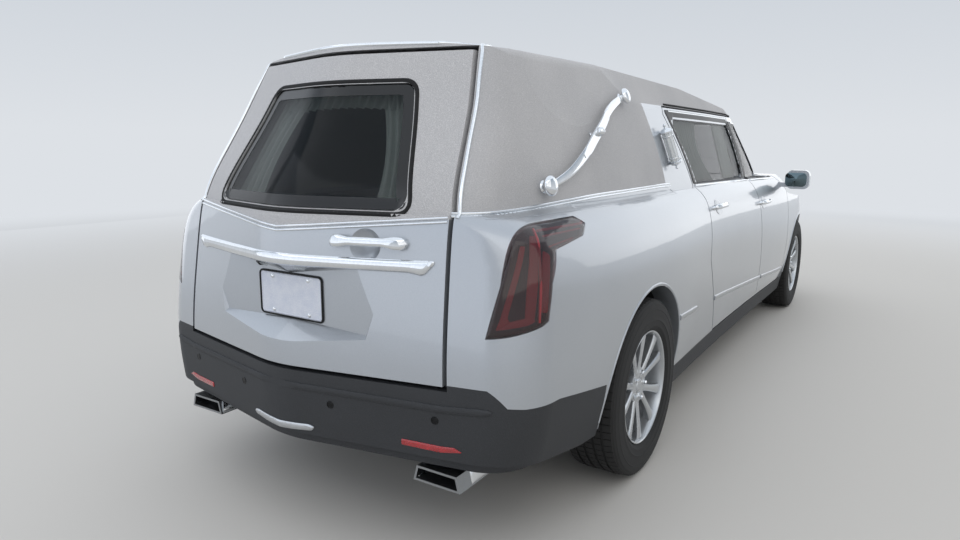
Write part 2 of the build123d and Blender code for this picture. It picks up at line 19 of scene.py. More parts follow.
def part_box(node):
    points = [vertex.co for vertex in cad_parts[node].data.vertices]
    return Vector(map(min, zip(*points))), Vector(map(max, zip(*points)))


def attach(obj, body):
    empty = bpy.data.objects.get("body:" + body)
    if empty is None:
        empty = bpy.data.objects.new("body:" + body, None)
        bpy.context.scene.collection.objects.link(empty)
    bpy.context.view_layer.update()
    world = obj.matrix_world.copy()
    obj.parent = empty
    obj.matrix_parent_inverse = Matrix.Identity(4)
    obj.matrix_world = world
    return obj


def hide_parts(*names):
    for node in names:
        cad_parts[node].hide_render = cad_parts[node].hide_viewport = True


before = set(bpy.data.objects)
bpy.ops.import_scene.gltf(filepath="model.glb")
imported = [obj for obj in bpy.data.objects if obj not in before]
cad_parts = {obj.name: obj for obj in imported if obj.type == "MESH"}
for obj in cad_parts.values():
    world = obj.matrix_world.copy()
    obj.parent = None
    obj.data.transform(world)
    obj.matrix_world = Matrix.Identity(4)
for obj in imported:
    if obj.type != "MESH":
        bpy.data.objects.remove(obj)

LOG = logging.getLogger("hearse")
Point = tuple[float, float, float]
Flat = tuple[float, float]
SIDES = (("right", -1.0), ("left", 1.0))


class Axis(Enum):
    """Axis that a profile is turned round: the order in which x, y and z take r cos, r sin and the height."""

    X = (2, 0, 1)
    Y = (1, 2, 0)
    Z = (0, 1, 2)


class Slot(Enum):
    """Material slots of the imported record."""

    PAINT = "silver_paint"
    CHROME = "chrome"
    DARK_TRIM = "dark_trim"
    STEEL = "steel"
    ALLOY = "alloy"
    TYRE = "tyre_rubber"
    CLEAR_LENS = "headlamp_lens"
    RED_LENS = "lamp_lens"
    PLATE = "plate"
    UPHOLSTERY = "upholstery"
    CURTAIN = "curtain"


def linear(code: str) -> tuple[float, float, float, float]:
    """Turns an sRGB hex colour into linear red, green, blue and alpha.

    Args:
        code: Colour as #RRGGBB.

    Returns:
        The linear colour with an alpha of 1.
    """
    parts = [int(code[i : i + 2], 16) / 255 for i in (1, 3, 5)]
    r, g, b = (p / 12.92 if p <= 0.04045 else ((p + 0.055) / 1.055) ** 2.4 for p in parts)
    return r, g, b, 1.0


def add_node(
    tree: bpy.types.NodeTree, kind: str, settings: dict | None = None, links: dict | None = None,
    **values: object,
) -> bpy.types.Node:
    """Adds one node to a shader or geometry tree.

    Args:
        tree: The node tree.
        kind: The node's type identifier.
        settings: Attributes to set on the node.
        links: Input name or index to the output socket that feeds it.
        **values: Input name, with _ for a space, to its value.

    Returns:
        The new node.
    """
    node = tree.nodes.new(kind)
    for key, value in (settings or {}).items():
        setattr(node, key, value)
    for key, value in values.items():
        node.inputs[key.replace("_", " ")].default_value = value
    for key, source in (links or {}).items():
        tree.links.new(source, node.inputs[key])
    return node


@dataclass(frozen=True)
class Finish:
    """A finish with one shader, whose grain and tone come from noise on Object coordinates.

    grain_mm is the size of the surface's texture, relief how strongly it shows in the light, tone_mm the
    size of its slow change of colour, and rough_swing how far its roughness varies along with that.
    """

    name: str
    colour: str
    second: str
    roughness: float = 0.5
    metallic: float = 0.0
    grain_mm: float = 2.0
    relief: float = 0.1
    tone_mm: float = 60.0
    rough_swing: float = 0.05
    cells: bool = False
    stretch: Point = (1.0, 1.0, 1.0)
    sockets: tuple[tuple[str, object], ...] = ()

    def build(self) -> bpy.types.Material:
        """Makes the material.

        Returns:
            The material, with colour, roughness and bump driven by its patterns.
        """
        material = bpy.data.materials.new(self.name)
        material.use_nodes = True
        tree = material.node_tree
        shader = tree.nodes["Principled BSDF"]
        shader.inputs["Metallic"].default_value = self.metallic
        for key, value in self.sockets:
            shader.inputs[key].default_value = linear(value) if isinstance(value, str) else value
        place = add_node(tree, "ShaderNodeTexCoord")
        space = add_node(
            tree, "ShaderNodeMapping", None, {"Vector": place.outputs["Object"]}, Scale=self.stretch,
        )
        self.colouring(tree, shader, space.outputs["Vector"])
        return material

    def colouring(
        self, tree: bpy.types.NodeTree, shader: bpy.types.Node, space: bpy.types.NodeSocket,
    ) -> None:
        """Feeds the shader's colour, roughness and normal from the patterns.

        Args:
            tree: The material's tree.
            shader: The Principled shader.
            space: The pattern space.
        """
        slow = add_node(
            tree, "ShaderNodeTexNoise", None, {"Vector": space}, Scale=1000 / self.tone_mm, Detail=3.0,
        )
        if self.cells:
            fine = add_node(
                tree, "ShaderNodeTexVoronoi", {"feature": "SMOOTH_F1"}, {"Vector": space},
                Scale=1000 / self.grain_mm,
            )
            height = fine.outputs["Distance"]
        else:
            fine = add_node(
                tree, "ShaderNodeTexNoise", None, {"Vector": space}, Scale=1000 / self.grain_mm, Detail=2.0,
            )
            height = fine.outputs["Fac"]
        both = add_node(tree, "ShaderNodeMath", {"operation": "ADD"}, {0: slow.outputs["Fac"], 1: height})
        mix = add_node(
            tree, "ShaderNodeMapRange", None, {"Value": both.outputs[0]}, From_Min=0.55, From_Max=1.45,
        )
        tone = add_node(tree, "ShaderNodeMix", {"data_type": "RGBA"}, {0: mix.outputs[0]})
        tone.inputs[6].default_value = linear(self.colour)
        tone.inputs[7].default_value = linear(self.second)
        tree.links.new(tone.outputs[2], shader.inputs["Base Color"])
        swing = add_node(tree, "ShaderNodeMapRange", None, {"Value": slow.outputs["Fac"]})
        swing.inputs["To Min"].default_value = max(self.roughness - self.rough_swing, 0.01)
        swing.inputs["To Max"].default_value = min(self.roughness + self.rough_swing, 1.0)
        tree.links.new(swing.outputs[0], shader.inputs["Roughness"])
        if self.relief:
            bump = add_node(tree, "ShaderNodeBump", None, {"Height": height}, Strength=self.relief)
            bump.inputs["Distance"].default_value = self.grain_mm / 2000
            tree.links.new(bump.outputs["Normal"], shader.inputs["Normal"])


# Two-stage automotive paint: aluminium flake of about 0.05 mm, drawn as 1.6 mm to show, under clear coat.
SILVER_PAINT = Finish(
    "silver_flake_paint", "#A6ABB2", "#B7BCC2", roughness=0.34, metallic=0.62, grain_mm=1.6, relief=0.035,
    tone_mm=900.0, rough_swing=0.02,
    sockets=(("Coat Weight", 1.0), ("Coat Roughness", 0.03), ("Coat IOR", 1.5)),
)
# Grained PVC landau cloth over a padded roof: matt, with a pebbled grain of 1 mm drawn as 3 mm.
VINYL = Finish(
    "grained_vinyl", "#A9AAAD", "#C6C6C8", roughness=0.58, grain_mm=3.0, relief=0.55, tone_mm=420.0,
    cells=True, sockets=(("Specular IOR Level", 0.35),),
)
# Bright trim: chromium plate on stainless strip, a mirror with faint polishing haze.
CHROME = Finish(
    "chromium_plate", "#D9DCDF", "#E9EBED", roughness=0.07, metallic=1.0, grain_mm=9.0, relief=0.02,
    tone_mm=160.0, rough_swing=0.03,
)
# Silvered glass behind a dark tint, as door mirrors have.
MIRROR = Finish(
    "tinted_mirror", "#5A6A70", "#64747A", roughness=0.04, metallic=1.0, grain_mm=9.0, relief=0.0,
    tone_mm=160.0, rough_swing=0.01,
)
# Satin chrome is blasted before plating, so its highlights spread.
SATIN = Finish(
    "satin_chrome", "#B9BCBF", "#C9CBCE", roughness=0.3, metallic=1.0, grain_mm=1.5, relief=0.06,
    tone_mm=120.0, rough_swing=0.04,
)
# Moulded polypropylene for bumpers and cladding: charcoal, its leather-like grain of 0.8 mm drawn as 2.4 mm.
TRIM = Finish(
    "moulded_polypropylene", "#26282B", "#34363A", roughness=0.62, grain_mm=2.4, relief=0.3, tone_mm=300.0,
    rough_swing=0.06, cells=True,
)
# Gloss black moulding behind glass and round the side windows.
GLOSS_BLACK = Finish(
    "gloss_black_moulding", "#08090A", "#111214", roughness=0.36, grain_mm=8.0, relief=0.01, tone_mm=200.0,
    rough_swing=0.03, sockets=(("Specular IOR Level", 0.25),),
)
# Foam rubber seals in the shut gaps.
SEAL = Finish("seal_rubber", "#0B0B0C", "#151516", roughness=0.85, relief=0.15, tone_mm=80.0)
# Privacy glass: dark body tint, float-glass gloss.
TINTED_GLASS = Finish(
    "privacy_glass", "#0A0F12", "#10171B", roughness=0.03, grain_mm=40.0, relief=0.0, tone_mm=700.0,
    rough_swing=0.01, sockets=(("Alpha", 0.38), ("IOR", 1.5), ("Specular IOR Level", 0.3)),
)
CLEAR_GLASS = Finish(
    "windscreen_glass", "#1A2226", "#222B30", roughness=0.02, grain_mm=40.0, relief=0.0, tone_mm=700.0,
    rough_swing=0.01, sockets=(("Alpha", 0.42), ("IOR", 1.52)),
)
# Ceramic frit baked on the edge of the glass.
FRIT = Finish(
    "ceramic_frit", "#060606", "#0D0D0E", roughness=0.2, grain_mm=1.5, relief=0.05, rough_swing=0.04,
)
# Smoked acrylic over the tail lamps and red acrylic light guides with vertical prisms behind it.
SMOKED_LENS = Finish(
    "smoked_acrylic", "#1C0709", "#2C0B0E", roughness=0.05, grain_mm=30.0, relief=0.0, tone_mm=300.0,
    rough_swing=0.01, sockets=(("Alpha", 0.5), ("IOR", 1.49), ("Coat Weight", 1.0)),
)
RED_GUIDE = Finish(
    "red_acrylic", "#B80F1E", "#DE2230", roughness=0.2, grain_mm=5.0, relief=0.35, tone_mm=90.0,
    stretch=(1.0, 1.0, 0.25),
    sockets=(("Coat Weight", 1.0), ("Emission Color", "#C8101E"), ("Emission Strength", 0.16)),
)
LAMP_WELL = Finish(
    "lamp_well", "#2A0A0D", "#3D0F13", roughness=0.3, metallic=0.2, grain_mm=4.0, relief=0.2,
    rough_swing=0.06,
)
CLEAR_LENS = Finish(
    "clear_polycarbonate", "#C6CFD4", "#DCE3E6", roughness=0.05, grain_mm=40.0, relief=0.0, tone_mm=300.0,
    rough_swing=0.01, sockets=(("Alpha", 0.28), ("IOR", 1.58), ("Coat Weight", 1.0)),
)
REFLECTOR = Finish(
    "lamp_reflector", "#C9CED2", "#DDE1E4", roughness=0.12, metallic=1.0, grain_mm=5.0, relief=0.3,
)
# Carbon-filled tyre rubber: near black, greyed by dust.
RUBBER = Finish(
    "tyre_rubber", "#1A1A1B", "#2A2A2A", roughness=0.8, grain_mm=1.2, relief=0.3, tone_mm=45.0,
    rough_swing=0.08,
)
# Cast aluminium wheel, painted silver and clear coated.
ALLOY = Finish(
    "painted_alloy", "#B6BABE", "#C8CBCE", roughness=0.28, metallic=0.75, grain_mm=1.4, relief=0.04,
    tone_mm=200.0, rough_swing=0.04, sockets=(("Coat Weight", 0.7), ("Coat Roughness", 0.06)),
)
DISC = Finish(
    "turned_iron", "#6D6E70", "#8B8C8E", roughness=0.38, metallic=1.0, grain_mm=1.0, relief=0.25,
    tone_mm=30.0, rough_swing=0.08,
)
# Stone-chip coating on the underside.
UNDERBODY = Finish(
    "underseal", "#101112", "#1C1D1E", roughness=0.82, grain_mm=3.0, relief=0.5, tone_mm=90.0,
    rough_swing=0.06, cells=True,
)
STEEL = Finish(
    "rolled_steel", "#8E9194", "#A9ACAF", roughness=0.32, metallic=1.0, grain_mm=1.6, relief=0.12,
    tone_mm=90.0, rough_swing=0.08, stretch=(0.15, 1.0, 1.0),
)
# Dyed leather on the front seats, grained at 1.5 mm.
LEATHER = Finish(
    "seat_leather", "#242326", "#343236", grain_mm=3.0, relief=0.14, tone_mm=120.0, rough_swing=0.06,
    cells=True,
)
# Soft-touch moulding of the dashboard.
DASH = Finish(
    "soft_touch_moulding", "#1C1D20", "#26272B", roughness=0.7, grain_mm=3.0, relief=0.12, tone_mm=140.0,
    cells=True,
)
HEADLINING = Finish(
    "knit_headlining", "#8F9193", "#A7A9AA", roughness=0.9, grain_mm=2.2, relief=0.3, tone_mm=120.0,
    rough_swing=0.03,
)
# Satin-weave polyester drapery: the yarn is 0.4 mm, drawn as 1.8 mm; sheen along the folds.
DRAPERY = Finish(
    "satin_drapery", "#A9BBB8", "#C6D2CE", roughness=0.62, grain_mm=1.8, relief=0.3, tone_mm=70.0,
    rough_swing=0.06, stretch=(1.0, 1.0, 0.35),
    sockets=(("Sheen Weight", 0.5), ("Sheen Roughness", 0.4), ("Sheen Tint", "#E4EEEC")),
)
# Walnut laminate on the casket deck, its grain running the length of the deck.
WALNUT = Finish(
    "walnut_laminate", "#3A2418", "#6A4630", roughness=0.32, grain_mm=7.0, relief=0.06, tone_mm=30.0,
    stretch=(1.0, 0.06, 1.0), sockets=(("Coat Weight", 0.6),),
)
# Retro-reflective sheeting on aluminium: near white with a fine bead texture.
PLATE_PAINT = Finish(
    "reflective_sheeting", "#C9D0E0", "#E6E9F0", roughness=0.35, relief=0.2, tone_mm=40.0, cells=True,
)
RED_REFLEX = Finish(
    "reflex_red", "#8E0F18", "#C01A24", roughness=0.15, grain_mm=3.5, relief=0.8, tone_mm=40.0,
    rough_swing=0.04, cells=True, sockets=(("Coat Weight", 1.0),),
)
# Opal polycarbonate diffusers over the light strips and inside the coach lamps.
OPAL = Finish(
    "opal_diffuser", "#D5DADD", "#E6EAEC", roughness=0.18, grain_mm=6.0, relief=0.02, rough_swing=0.03,
    sockets=(("Coat Weight", 1.0),),
)
MATERIALS: dict[str, bpy.types.Material] = {}


def material_of(finish: Finish) -> bpy.types.Material:
    """Gives the one material of a finish, made when it is first asked for.

    Args:
        finish: The finish.

    Returns:
        Its material.
    """
    if finish.name not in MATERIALS:
        MATERIALS[finish.name] = finish.build()
    return MATERIALS[finish.name]


class Shape:
    """Points and faces of a piece in the making, in metres."""

    def __init__(self) -> None:
        """Starts with nothing."""
        self.points: list[Vector] = []
        self.faces: list[tuple[int, ...]] = []

    def face(self, corners: Iterable[int]) -> None:
        """Adds one face by its point numbers."""
        self.faces.append(tuple(corners))

    def skin(
        self, rings: Sequence[Sequence[Vector]], caps: bool = True, round_again: bool = False,
    ) -> "Shape":
        """Covers a row of closed rings of equal size.

        Args:
            rings: The rings, each a closed loop of points in the same order.
            caps: Whether the first and last rings are filled.
            round_again: Whether the last ring joins the first.

        Returns:
            This shape.
        """
        base = len(self.points)
        n = len(rings[0])
        for ring in rings:
            self.points.extend(Vector(p) for p in ring)
        count = len(rings)
        for i in range(count if round_again else count - 1):
            a = base + i * n
            b = base + (i + 1) % count * n
            for k in range(n):
                self.face((a + k, a + (k + 1) % n, b + (k + 1) % n, b + k))
        if caps and not round_again:
            self.face(range(base + n - 1, base - 1, -1))
            self.face(range(base + (count - 1) * n, base + count * n))
        return self

    def join(self, other: "Shape", by: Matrix | None = None) -> "Shape":
        """Adds another shape's faces.

        Args:
            other: The shape to add.
            by: Where it goes.

        Returns:
            This shape.
        """
        base = len(self.points)
        self.points.extend((by @ p if by else p.copy()) for p in other.points)
        for corners in other.faces:
            self.face(base + c for c in corners)
        return self

    def both_sides(self) -> "Shape":
        """Adds the mirror image across the vehicle's middle."""
        return self.join(self.copy(), Matrix.Diagonal((-1, 1, 1, 1)))

    def copy(self) -> "Shape":
        """Gives an independent copy."""
        return Shape().join(self)

    def fit(
        self, name: str, finish: Finish, body: str, slot: Slot, *replaced: str, sharp: float = 32.0,
        close: bool = True,
    ) -> None:
        """Makes the piece and fits it to its body.

        Args:
            name: Name of the piece.
            finish: Its finish.
            body: Body that carries it.
            slot: Material slot of the record.
            *replaced: CAD nodes that are hidden.
            sharp: Angle in degrees past which an edge is sharp.
            close: Whether the shape is closed.
        """
        fit(self.build(name, finish, sharp, close), body, slot, *replaced)

    def build(
        self, name: str, finish: Finish | None = None, sharp: float = 32.0, close: bool = True,
    ) -> bpy.types.Object:
        """Makes the object, with outward normals and smooth shading up to an angle.

        Args:
            name: Name of the piece.
            finish: Its finish, if it gets one here.
            sharp: Angle in degrees past which an edge is sharp.
            close: Whether the shape is closed, so that its faces can be turned outwards.

        Returns:
            The object, linked to the scene.
        """
        mesh = bpy.data.meshes.new(name)
        mesh.from_pydata([tuple(p) for p in self.points], [], self.faces)
        work = bmesh.new()
        work.from_mesh(mesh)
        bmesh.ops.remove_doubles(work, verts=work.verts, dist=2e-5)
        bmesh.ops.dissolve_degenerate(work, edges=work.edges, dist=1e-6)
        if close:
            bmesh.ops.recalc_face_normals(work, faces=work.faces)
        work.to_mesh(mesh)
        work.free()
        mesh.shade_smooth()
        mesh.set_sharp_from_angle(angle=math.radians(sharp))
        if finish:
            mesh.materials.append(material_of(finish))
        piece = bpy.data.objects.new(name, mesh)
        bpy.context.scene.collection.objects.link(piece)
        return piece


# Rearmost place that a piece may reach, just inside the CAD model's own end.
REAR_LIMIT = 2.9178


def fit(piece: bpy.types.Object, body: str, slot: Slot, *replaced: str) -> bpy.types.Object:
    """Rides a finished piece on its body, hides the CAD nodes it stands for, and reports it.

    Args:
        piece: The finished piece.
        body: Body that carries it.
        slot: Material slot of the record; not used.
        *replaced: CAD nodes that are hidden.

    Returns:
        The piece.
    """
    for vertex in piece.data.vertices:
        vertex.co.y = min(vertex.co.y, REAR_LIMIT)
    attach(piece, body)
    if replaced:
        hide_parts(*replaced)
    LOG.info("%s on %s: %d faces", piece.name, body, len(piece.data.polygons))
    return piece


def lathe(profile: Sequence[Flat], steps: int = 64, axis: Axis = Axis.X) -> Shape:
    """Turns a closed profile round an axis through the origin.

    Args:
        profile: Closed outline as (radius, place along the axis).
        steps: Number of steps round.
        axis: The axis.

    Returns:
        The turned shape.
    """
    rings = []
    for i in range(steps):
        c, s = math.cos(math.tau * i / steps), math.sin(math.tau * i / steps)
        rings.append([Vector([(r * c, r * s, h)[k] for k in axis.value]) for r, h in profile])
    return Shape().skin(rings, round_again=True)


def rounded(width: float, height: float, radius: float, steps: int = 5) -> list[Flat]:
    """Gives the outline of a rectangle with rounded corners, centred on the origin.

    Args:
        width: Full width.
        height: Full height.
        radius: Radius of the corners.
        steps: Steps in each corner.

    Returns:
        The outline.
    """
    out = []
    for cx, cy, start in ((1, 1, 0), (-1, 1, 90), (-1, -1, 180), (1, -1, 270)):
        for k in range(steps + 1):
            a = math.radians(start + 90 * k / steps)
            out.append((
                cx * (width / 2 - radius) + radius * math.cos(a),
                cy * (height / 2 - radius) + radius * math.sin(a),
            ))
    return out


def oval(wide: float, high: float, steps: int) -> list[Flat]:
    """Gives the outline of an oval from its two half axes."""
    return [
        (wide * math.cos(math.tau * k / steps), high * math.sin(math.tau * k / steps)) for k in range(steps)
    ]


def mirrored(half: Sequence[Flat]) -> list[Flat]:
    """Closes a half outline whose first and last points lie on the centre line."""
    return list(half) + [(-x, z) for x, z in reversed(half[1:-1])]


def stack(outline: Sequence[Flat], layers: Sequence[Flat]) -> Shape:
    """Makes a small solid from one outline, scaled at each layer's height."""
    return Shape().skin([
        [Vector((u * scale, v * scale, height)) for u, v in outline] for scale, height in layers
    ])


def beam(
    outline: Sequence[Flat], start: Sequence[float], end: Sequence[float], order: tuple[int, int],
) -> Shape:
    """Makes a straight bar of one section between two points.

    Args:
        outline: The section, centred on the bar.
        start: Where it starts.
        end: Where it ends.
        order: Axes that the section's two directions follow, as 0, 1 or 2.

    Returns:
        The closed shape.
    """
    rings = []
    for point in (start, end):
        ring = []
        for flat in outline:
            at = list(point)
            for axis, by in zip(order, flat):
                at[axis] += by
            ring.append(Vector(at))
        rings.append(ring)
    return Shape().skin(rings)


def curve_through(points: Sequence[Sequence[float]], count: int) -> list[Vector]:
    """Samples a smooth line through points, evenly by length.

    Args:
        points: The points that it passes through.
        count: How many samples.

    Returns:
        The samples.
    """
    pts = [Vector(p) for p in points]
    dense = []
    for i in range(len(pts) - 1):
        a, b = pts[i], pts[i + 1]
        before = pts[i - 1] if i else a * 2 - b
        after = pts[i + 2] if i + 2 < len(pts) else b * 2 - a
        for k in range(16):
            t = k / 16
            dense.append(0.5 * (
                2 * a + (b - before) * t + (2 * before - 5 * a + 4 * b - after) * t**2
                + (3 * a - before - 3 * b + after) * t**3
            ))
    dense.append(pts[-1])
    return even(dense, count)


def even(points: Sequence[Vector], count: int) -> list[Vector]:
    """Samples a run of straight steps evenly by length.

    Args:
        points: Corners of the run.
        count: How many places.

    Returns:
        The sampled places.
    """
    lengths = [0.0]
    for a, b in zip(points, points[1:]):
        lengths.append(lengths[-1] + (b - a).length)
    out = []
    i = 0
    for k in range(count):
        want = lengths[-1] * k / (count - 1)
        while i < len(points) - 2 and lengths[i + 1] < want:
            i += 1
        step = max(lengths[i + 1] - lengths[i], 1e-9)
        out.append(points[i].lerp(points[i + 1], min(max((want - lengths[i]) / step, 0.0), 1.0)))
    return out


@dataclass
class Seat:
    """A place on the bodywork: where it is and which way is out."""

    at: Vector
    out: Vector

    def raised(self, by: float) -> "Seat":
        """The place moved outwards, or inwards where by is negative."""
        return Seat(self.at + self.out * by, self.out)

    def turn(self) -> Matrix:
        """Placement of a small fitting here, with its z outwards."""
        return Matrix.Translation(self.at) @ self.out.to_track_quat("Z", "Y").to_matrix().to_4x4()


class Hull:
    """The outside of the CAD bodywork, which trim is laid on."""

    NODES = (
        "quarter_left", "quarter_right", "coach_panels", "cowl", "fender_left", "fender_right", "hood",
        "front_door_left", "front_door_right", "rear_door_left", "rear_door_right", "tailgate",
        "front_bumper", "roof", "landau_panels", "sills", "rear_bumper", "windscreen",
        "front_door_glass_left", "front_door_glass_right", "rear_door_glass_left", "rear_door_glass_right",
        "tailgate_glass", "tail_lamps", "headlamps",
    )

    def __init__(self) -> None:
        """Gathers the outer nodes' triangles in one search tree."""
        points: list[Vector] = []
        faces: list[tuple[int, ...]] = []
        for name in self.NODES:
            base = len(points)
            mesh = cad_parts[name].data
            points.extend(v.co.copy() for v in mesh.vertices)
            faces.extend(tuple(base + i for i in p.vertices) for p in mesh.polygons)
        self.tree = BVHTree.FromPolygons(points, faces)

    def touch(self, start: Vector, toward: Vector, spread: float = 0.012) -> Seat | None:
        """Finds where a ray meets the bodywork, with the outward direction averaged round it.

        Args:
            start: Where the ray starts.
            toward: Its direction.
            spread: Distance of the neighbouring rays that even out the direction.

        Returns:
            The place, or None where the ray misses.
        """
        toward = toward.normalized()
        hit, normal, _, _ = self.tree.ray_cast(start, toward)
        if hit is None:
            return None
        total = normal.copy()
        across = toward.orthogonal().normalized()
        for turn in range(4):
            aside = Matrix.Rotation(turn * math.pi / 2, 3, toward) @ across * spread
            near, direction, _, _ = self.tree.ray_cast(start + aside, toward)
            if near is not None and (near - hit).length < spread * 3:
                total += direction
        if total.dot(toward) > 0:
            total.negate()
        return Seat(hit, total.normalized())

    def cast(self, start: Vector, toward: Vector, guess: Vector, reach: float) -> Seat:
        """Place where a ray meets the outside, or the nearest one where it slips through a gap.

        Args:
            start: Where the ray starts.
            toward: Its direction.
            guess: Point near the expected place.
            reach: Furthest that the place may lie beyond the guess.

        Returns:
            The place.
        """
        seat = self.touch(start, toward)
        if seat is None or (seat.at - guess).dot(toward) > reach:
            at, out, _, _ = self.tree.find_nearest(guess)
            seat = Seat(at, out if out.dot(toward) < 0 else -toward)
        return seat

    def side(self, side: float, y: float, z: float) -> Seat:
        """Place on the flank at a length and height."""
        return self.cast(Vector((side * 1.6, y, z)), Vector((-side, 0, 0)), Vector((side * 0.8, y, z)), 0.3)

    def rear(self, x: float, z: float) -> Seat:
        """Place on the tail at a width and height."""
        return self.cast(
            Vector((x, 3.4, z)), Vector((0, -1, 0)), Vector((x, 2.85 - 0.5 * max(z - 1.16, 0.0), z)), 0.25,
        )

    def front(self, x: float, z: float) -> Seat:
        """Place on the nose at a width and height."""
        return self.touch(Vector((x, -3.4, z)), Vector((0, 1, 0))) or Seat(
            Vector((x, -2.85, z)), Vector((0, -1, 0)),
        )

    def corner(self, side: float, u: float, z: float) -> Seat:
        """Place on a rear corner, seen along the diagonal; u grows towards the tail."""
        start = Vector((side * -u, u, 0)) / math.sqrt(2) + Vector((side, 1, 0)) * 2.6 + Vector((0, 0, z))
        return self.touch(start, Vector((-side, -1, 0))) or Seat(
            start - Vector((side, 1, 0)), Vector((side, 1, 0)).normalized(),
        )


def strip(
    seats: Sequence[Seat], section: Sequence[Flat], taper: Callable[[float], float] | None = None,
) -> Shape:
    """Lays a moulding of constant section along places on the bodywork.

    Args:
        seats: The places along its centreline.
        section: Closed outline as (across, out), counted from the bodywork.
        taper: Scale of the section's width by the share of the way along.

    Returns:
        The closed moulding.
    """
    n = len(seats)
    rings = []
    outs = [
        sum((seats[k].out for k in range(max(i - 2, 0), min(i + 3, n))), Vector()).normalized()
        for i in range(n)
    ]
    for i, seat in enumerate(seats):
        along = (seats[min(i + 1, n - 1)].at - seats[max(i - 1, 0)].at).normalized()
        out = (outs[i] - along * outs[i].dot(along)).normalized()
        across = along.cross(out)
        wide = taper(i / (n - 1)) if taper else 1.0
        rings.append([seat.at + across * (u * wide) + out * v for u, v in section])
    return Shape().skin(rings)


def row(place: Callable[[float, float], Seat], start: Flat, end: Flat, steps: int = 40) -> list[Seat]:
    """Places at even steps along a straight line on the bodywork."""
    return [place(*(a + (b - a) * k / steps for a, b in zip(start, end))) for k in range(steps + 1)]


def bead(width: float, height: float, sink: float = 0.004, steps: int = 6) -> list[Flat]:
    """Gives the section of a half-round moulding that sinks a little into what carries it.

    Args:
        width: Its width.
        height: How far it stands out.
        sink: How far it sinks in.
        steps: Steps round the arch.

    Returns:
        The section as (across, out).
    """
    arch = [
        (width / 2 * math.cos(math.pi * k / steps), height * math.sin(math.pi * k / steps))
        for k in range(steps + 1)
    ]
    return arch + [(-width / 2, -sink), (width / 2, -sink)]


def flat_bar(width: float, height: float, edge: float = 0.0015, sink: float = 0.004) -> list[Flat]:
    """Gives the section of a flat bar with chamfered edges.

    Args:
        width: Its width.
        height: How far it stands out.
        edge: Size of the chamfers.
        sink: How far it sinks in.

    Returns:
        The section as (across, out).
    """
    w = width / 2
    return [
        (w, -sink), (w, height - edge), (w - edge, height), (-w + edge, height), (-w, height - edge),
        (-w, -sink),
    ]


def inset_distance(point: Flat, outline: Sequence[Flat]) -> float:
    """Distance from a point to an outline's nearest edge.

    Args:
        point: Place to measure from.
        outline: Closed outline.

    Returns:
        The distance.
    """
    best = 1e9
    p = Vector(point)
    for a, b in zip(outline, list(outline[1:]) + [outline[0]]):
        a2, b2 = Vector(a), Vector(b)
        step = b2 - a2
        t = min(max((p - a2).dot(step) / max(step.length_squared, 1e-12), 0.0), 1.0)
        best = min(best, (p - a2 - step * t).length)
    return best


def inside(point: Flat, outline: Sequence[Flat]) -> bool:
    """Tells whether a point lies inside an outline.

    Args:
        point: The point.
        outline: Closed outline.

    Returns:
        Whether it lies inside.
    """
    x, y = point
    odd = False
    for (x1, y1), (x2, y2) in zip(outline, list(outline[1:]) + [outline[0]]):
        if (y1 > y) != (y2 > y) and x < (x2 - x1) * (y - y1) / (y2 - y1) + x1:
            odd = not odd
    return odd


def round_outline(outline: Sequence[Flat], radius: float, steps: int = 4) -> list[Flat]:
    """Rounds an outline's corners.

    Args:
        outline: The corners in order.
        radius: How far from a corner the rounding starts, at most two fifths of an edge.
        steps: Points in each rounding.

    Returns:
        The rounded outline.
    """
    out = []
    n = len(outline)
    for i in range(n):
        before, here, after = (Vector(outline[(i + k) % n]) for k in (-1, 0, 1))
        a = here + (before - here).normalized() * min(radius, (before - here).length * 0.4)
        b = here + (after - here).normalized() * min(radius, (after - here).length * 0.4)
        for k in range(steps + 1):
            t = k / steps
            out.append(tuple(a * (1 - t) ** 2 + here * 2 * t * (1 - t) + b * t**2))
    return out


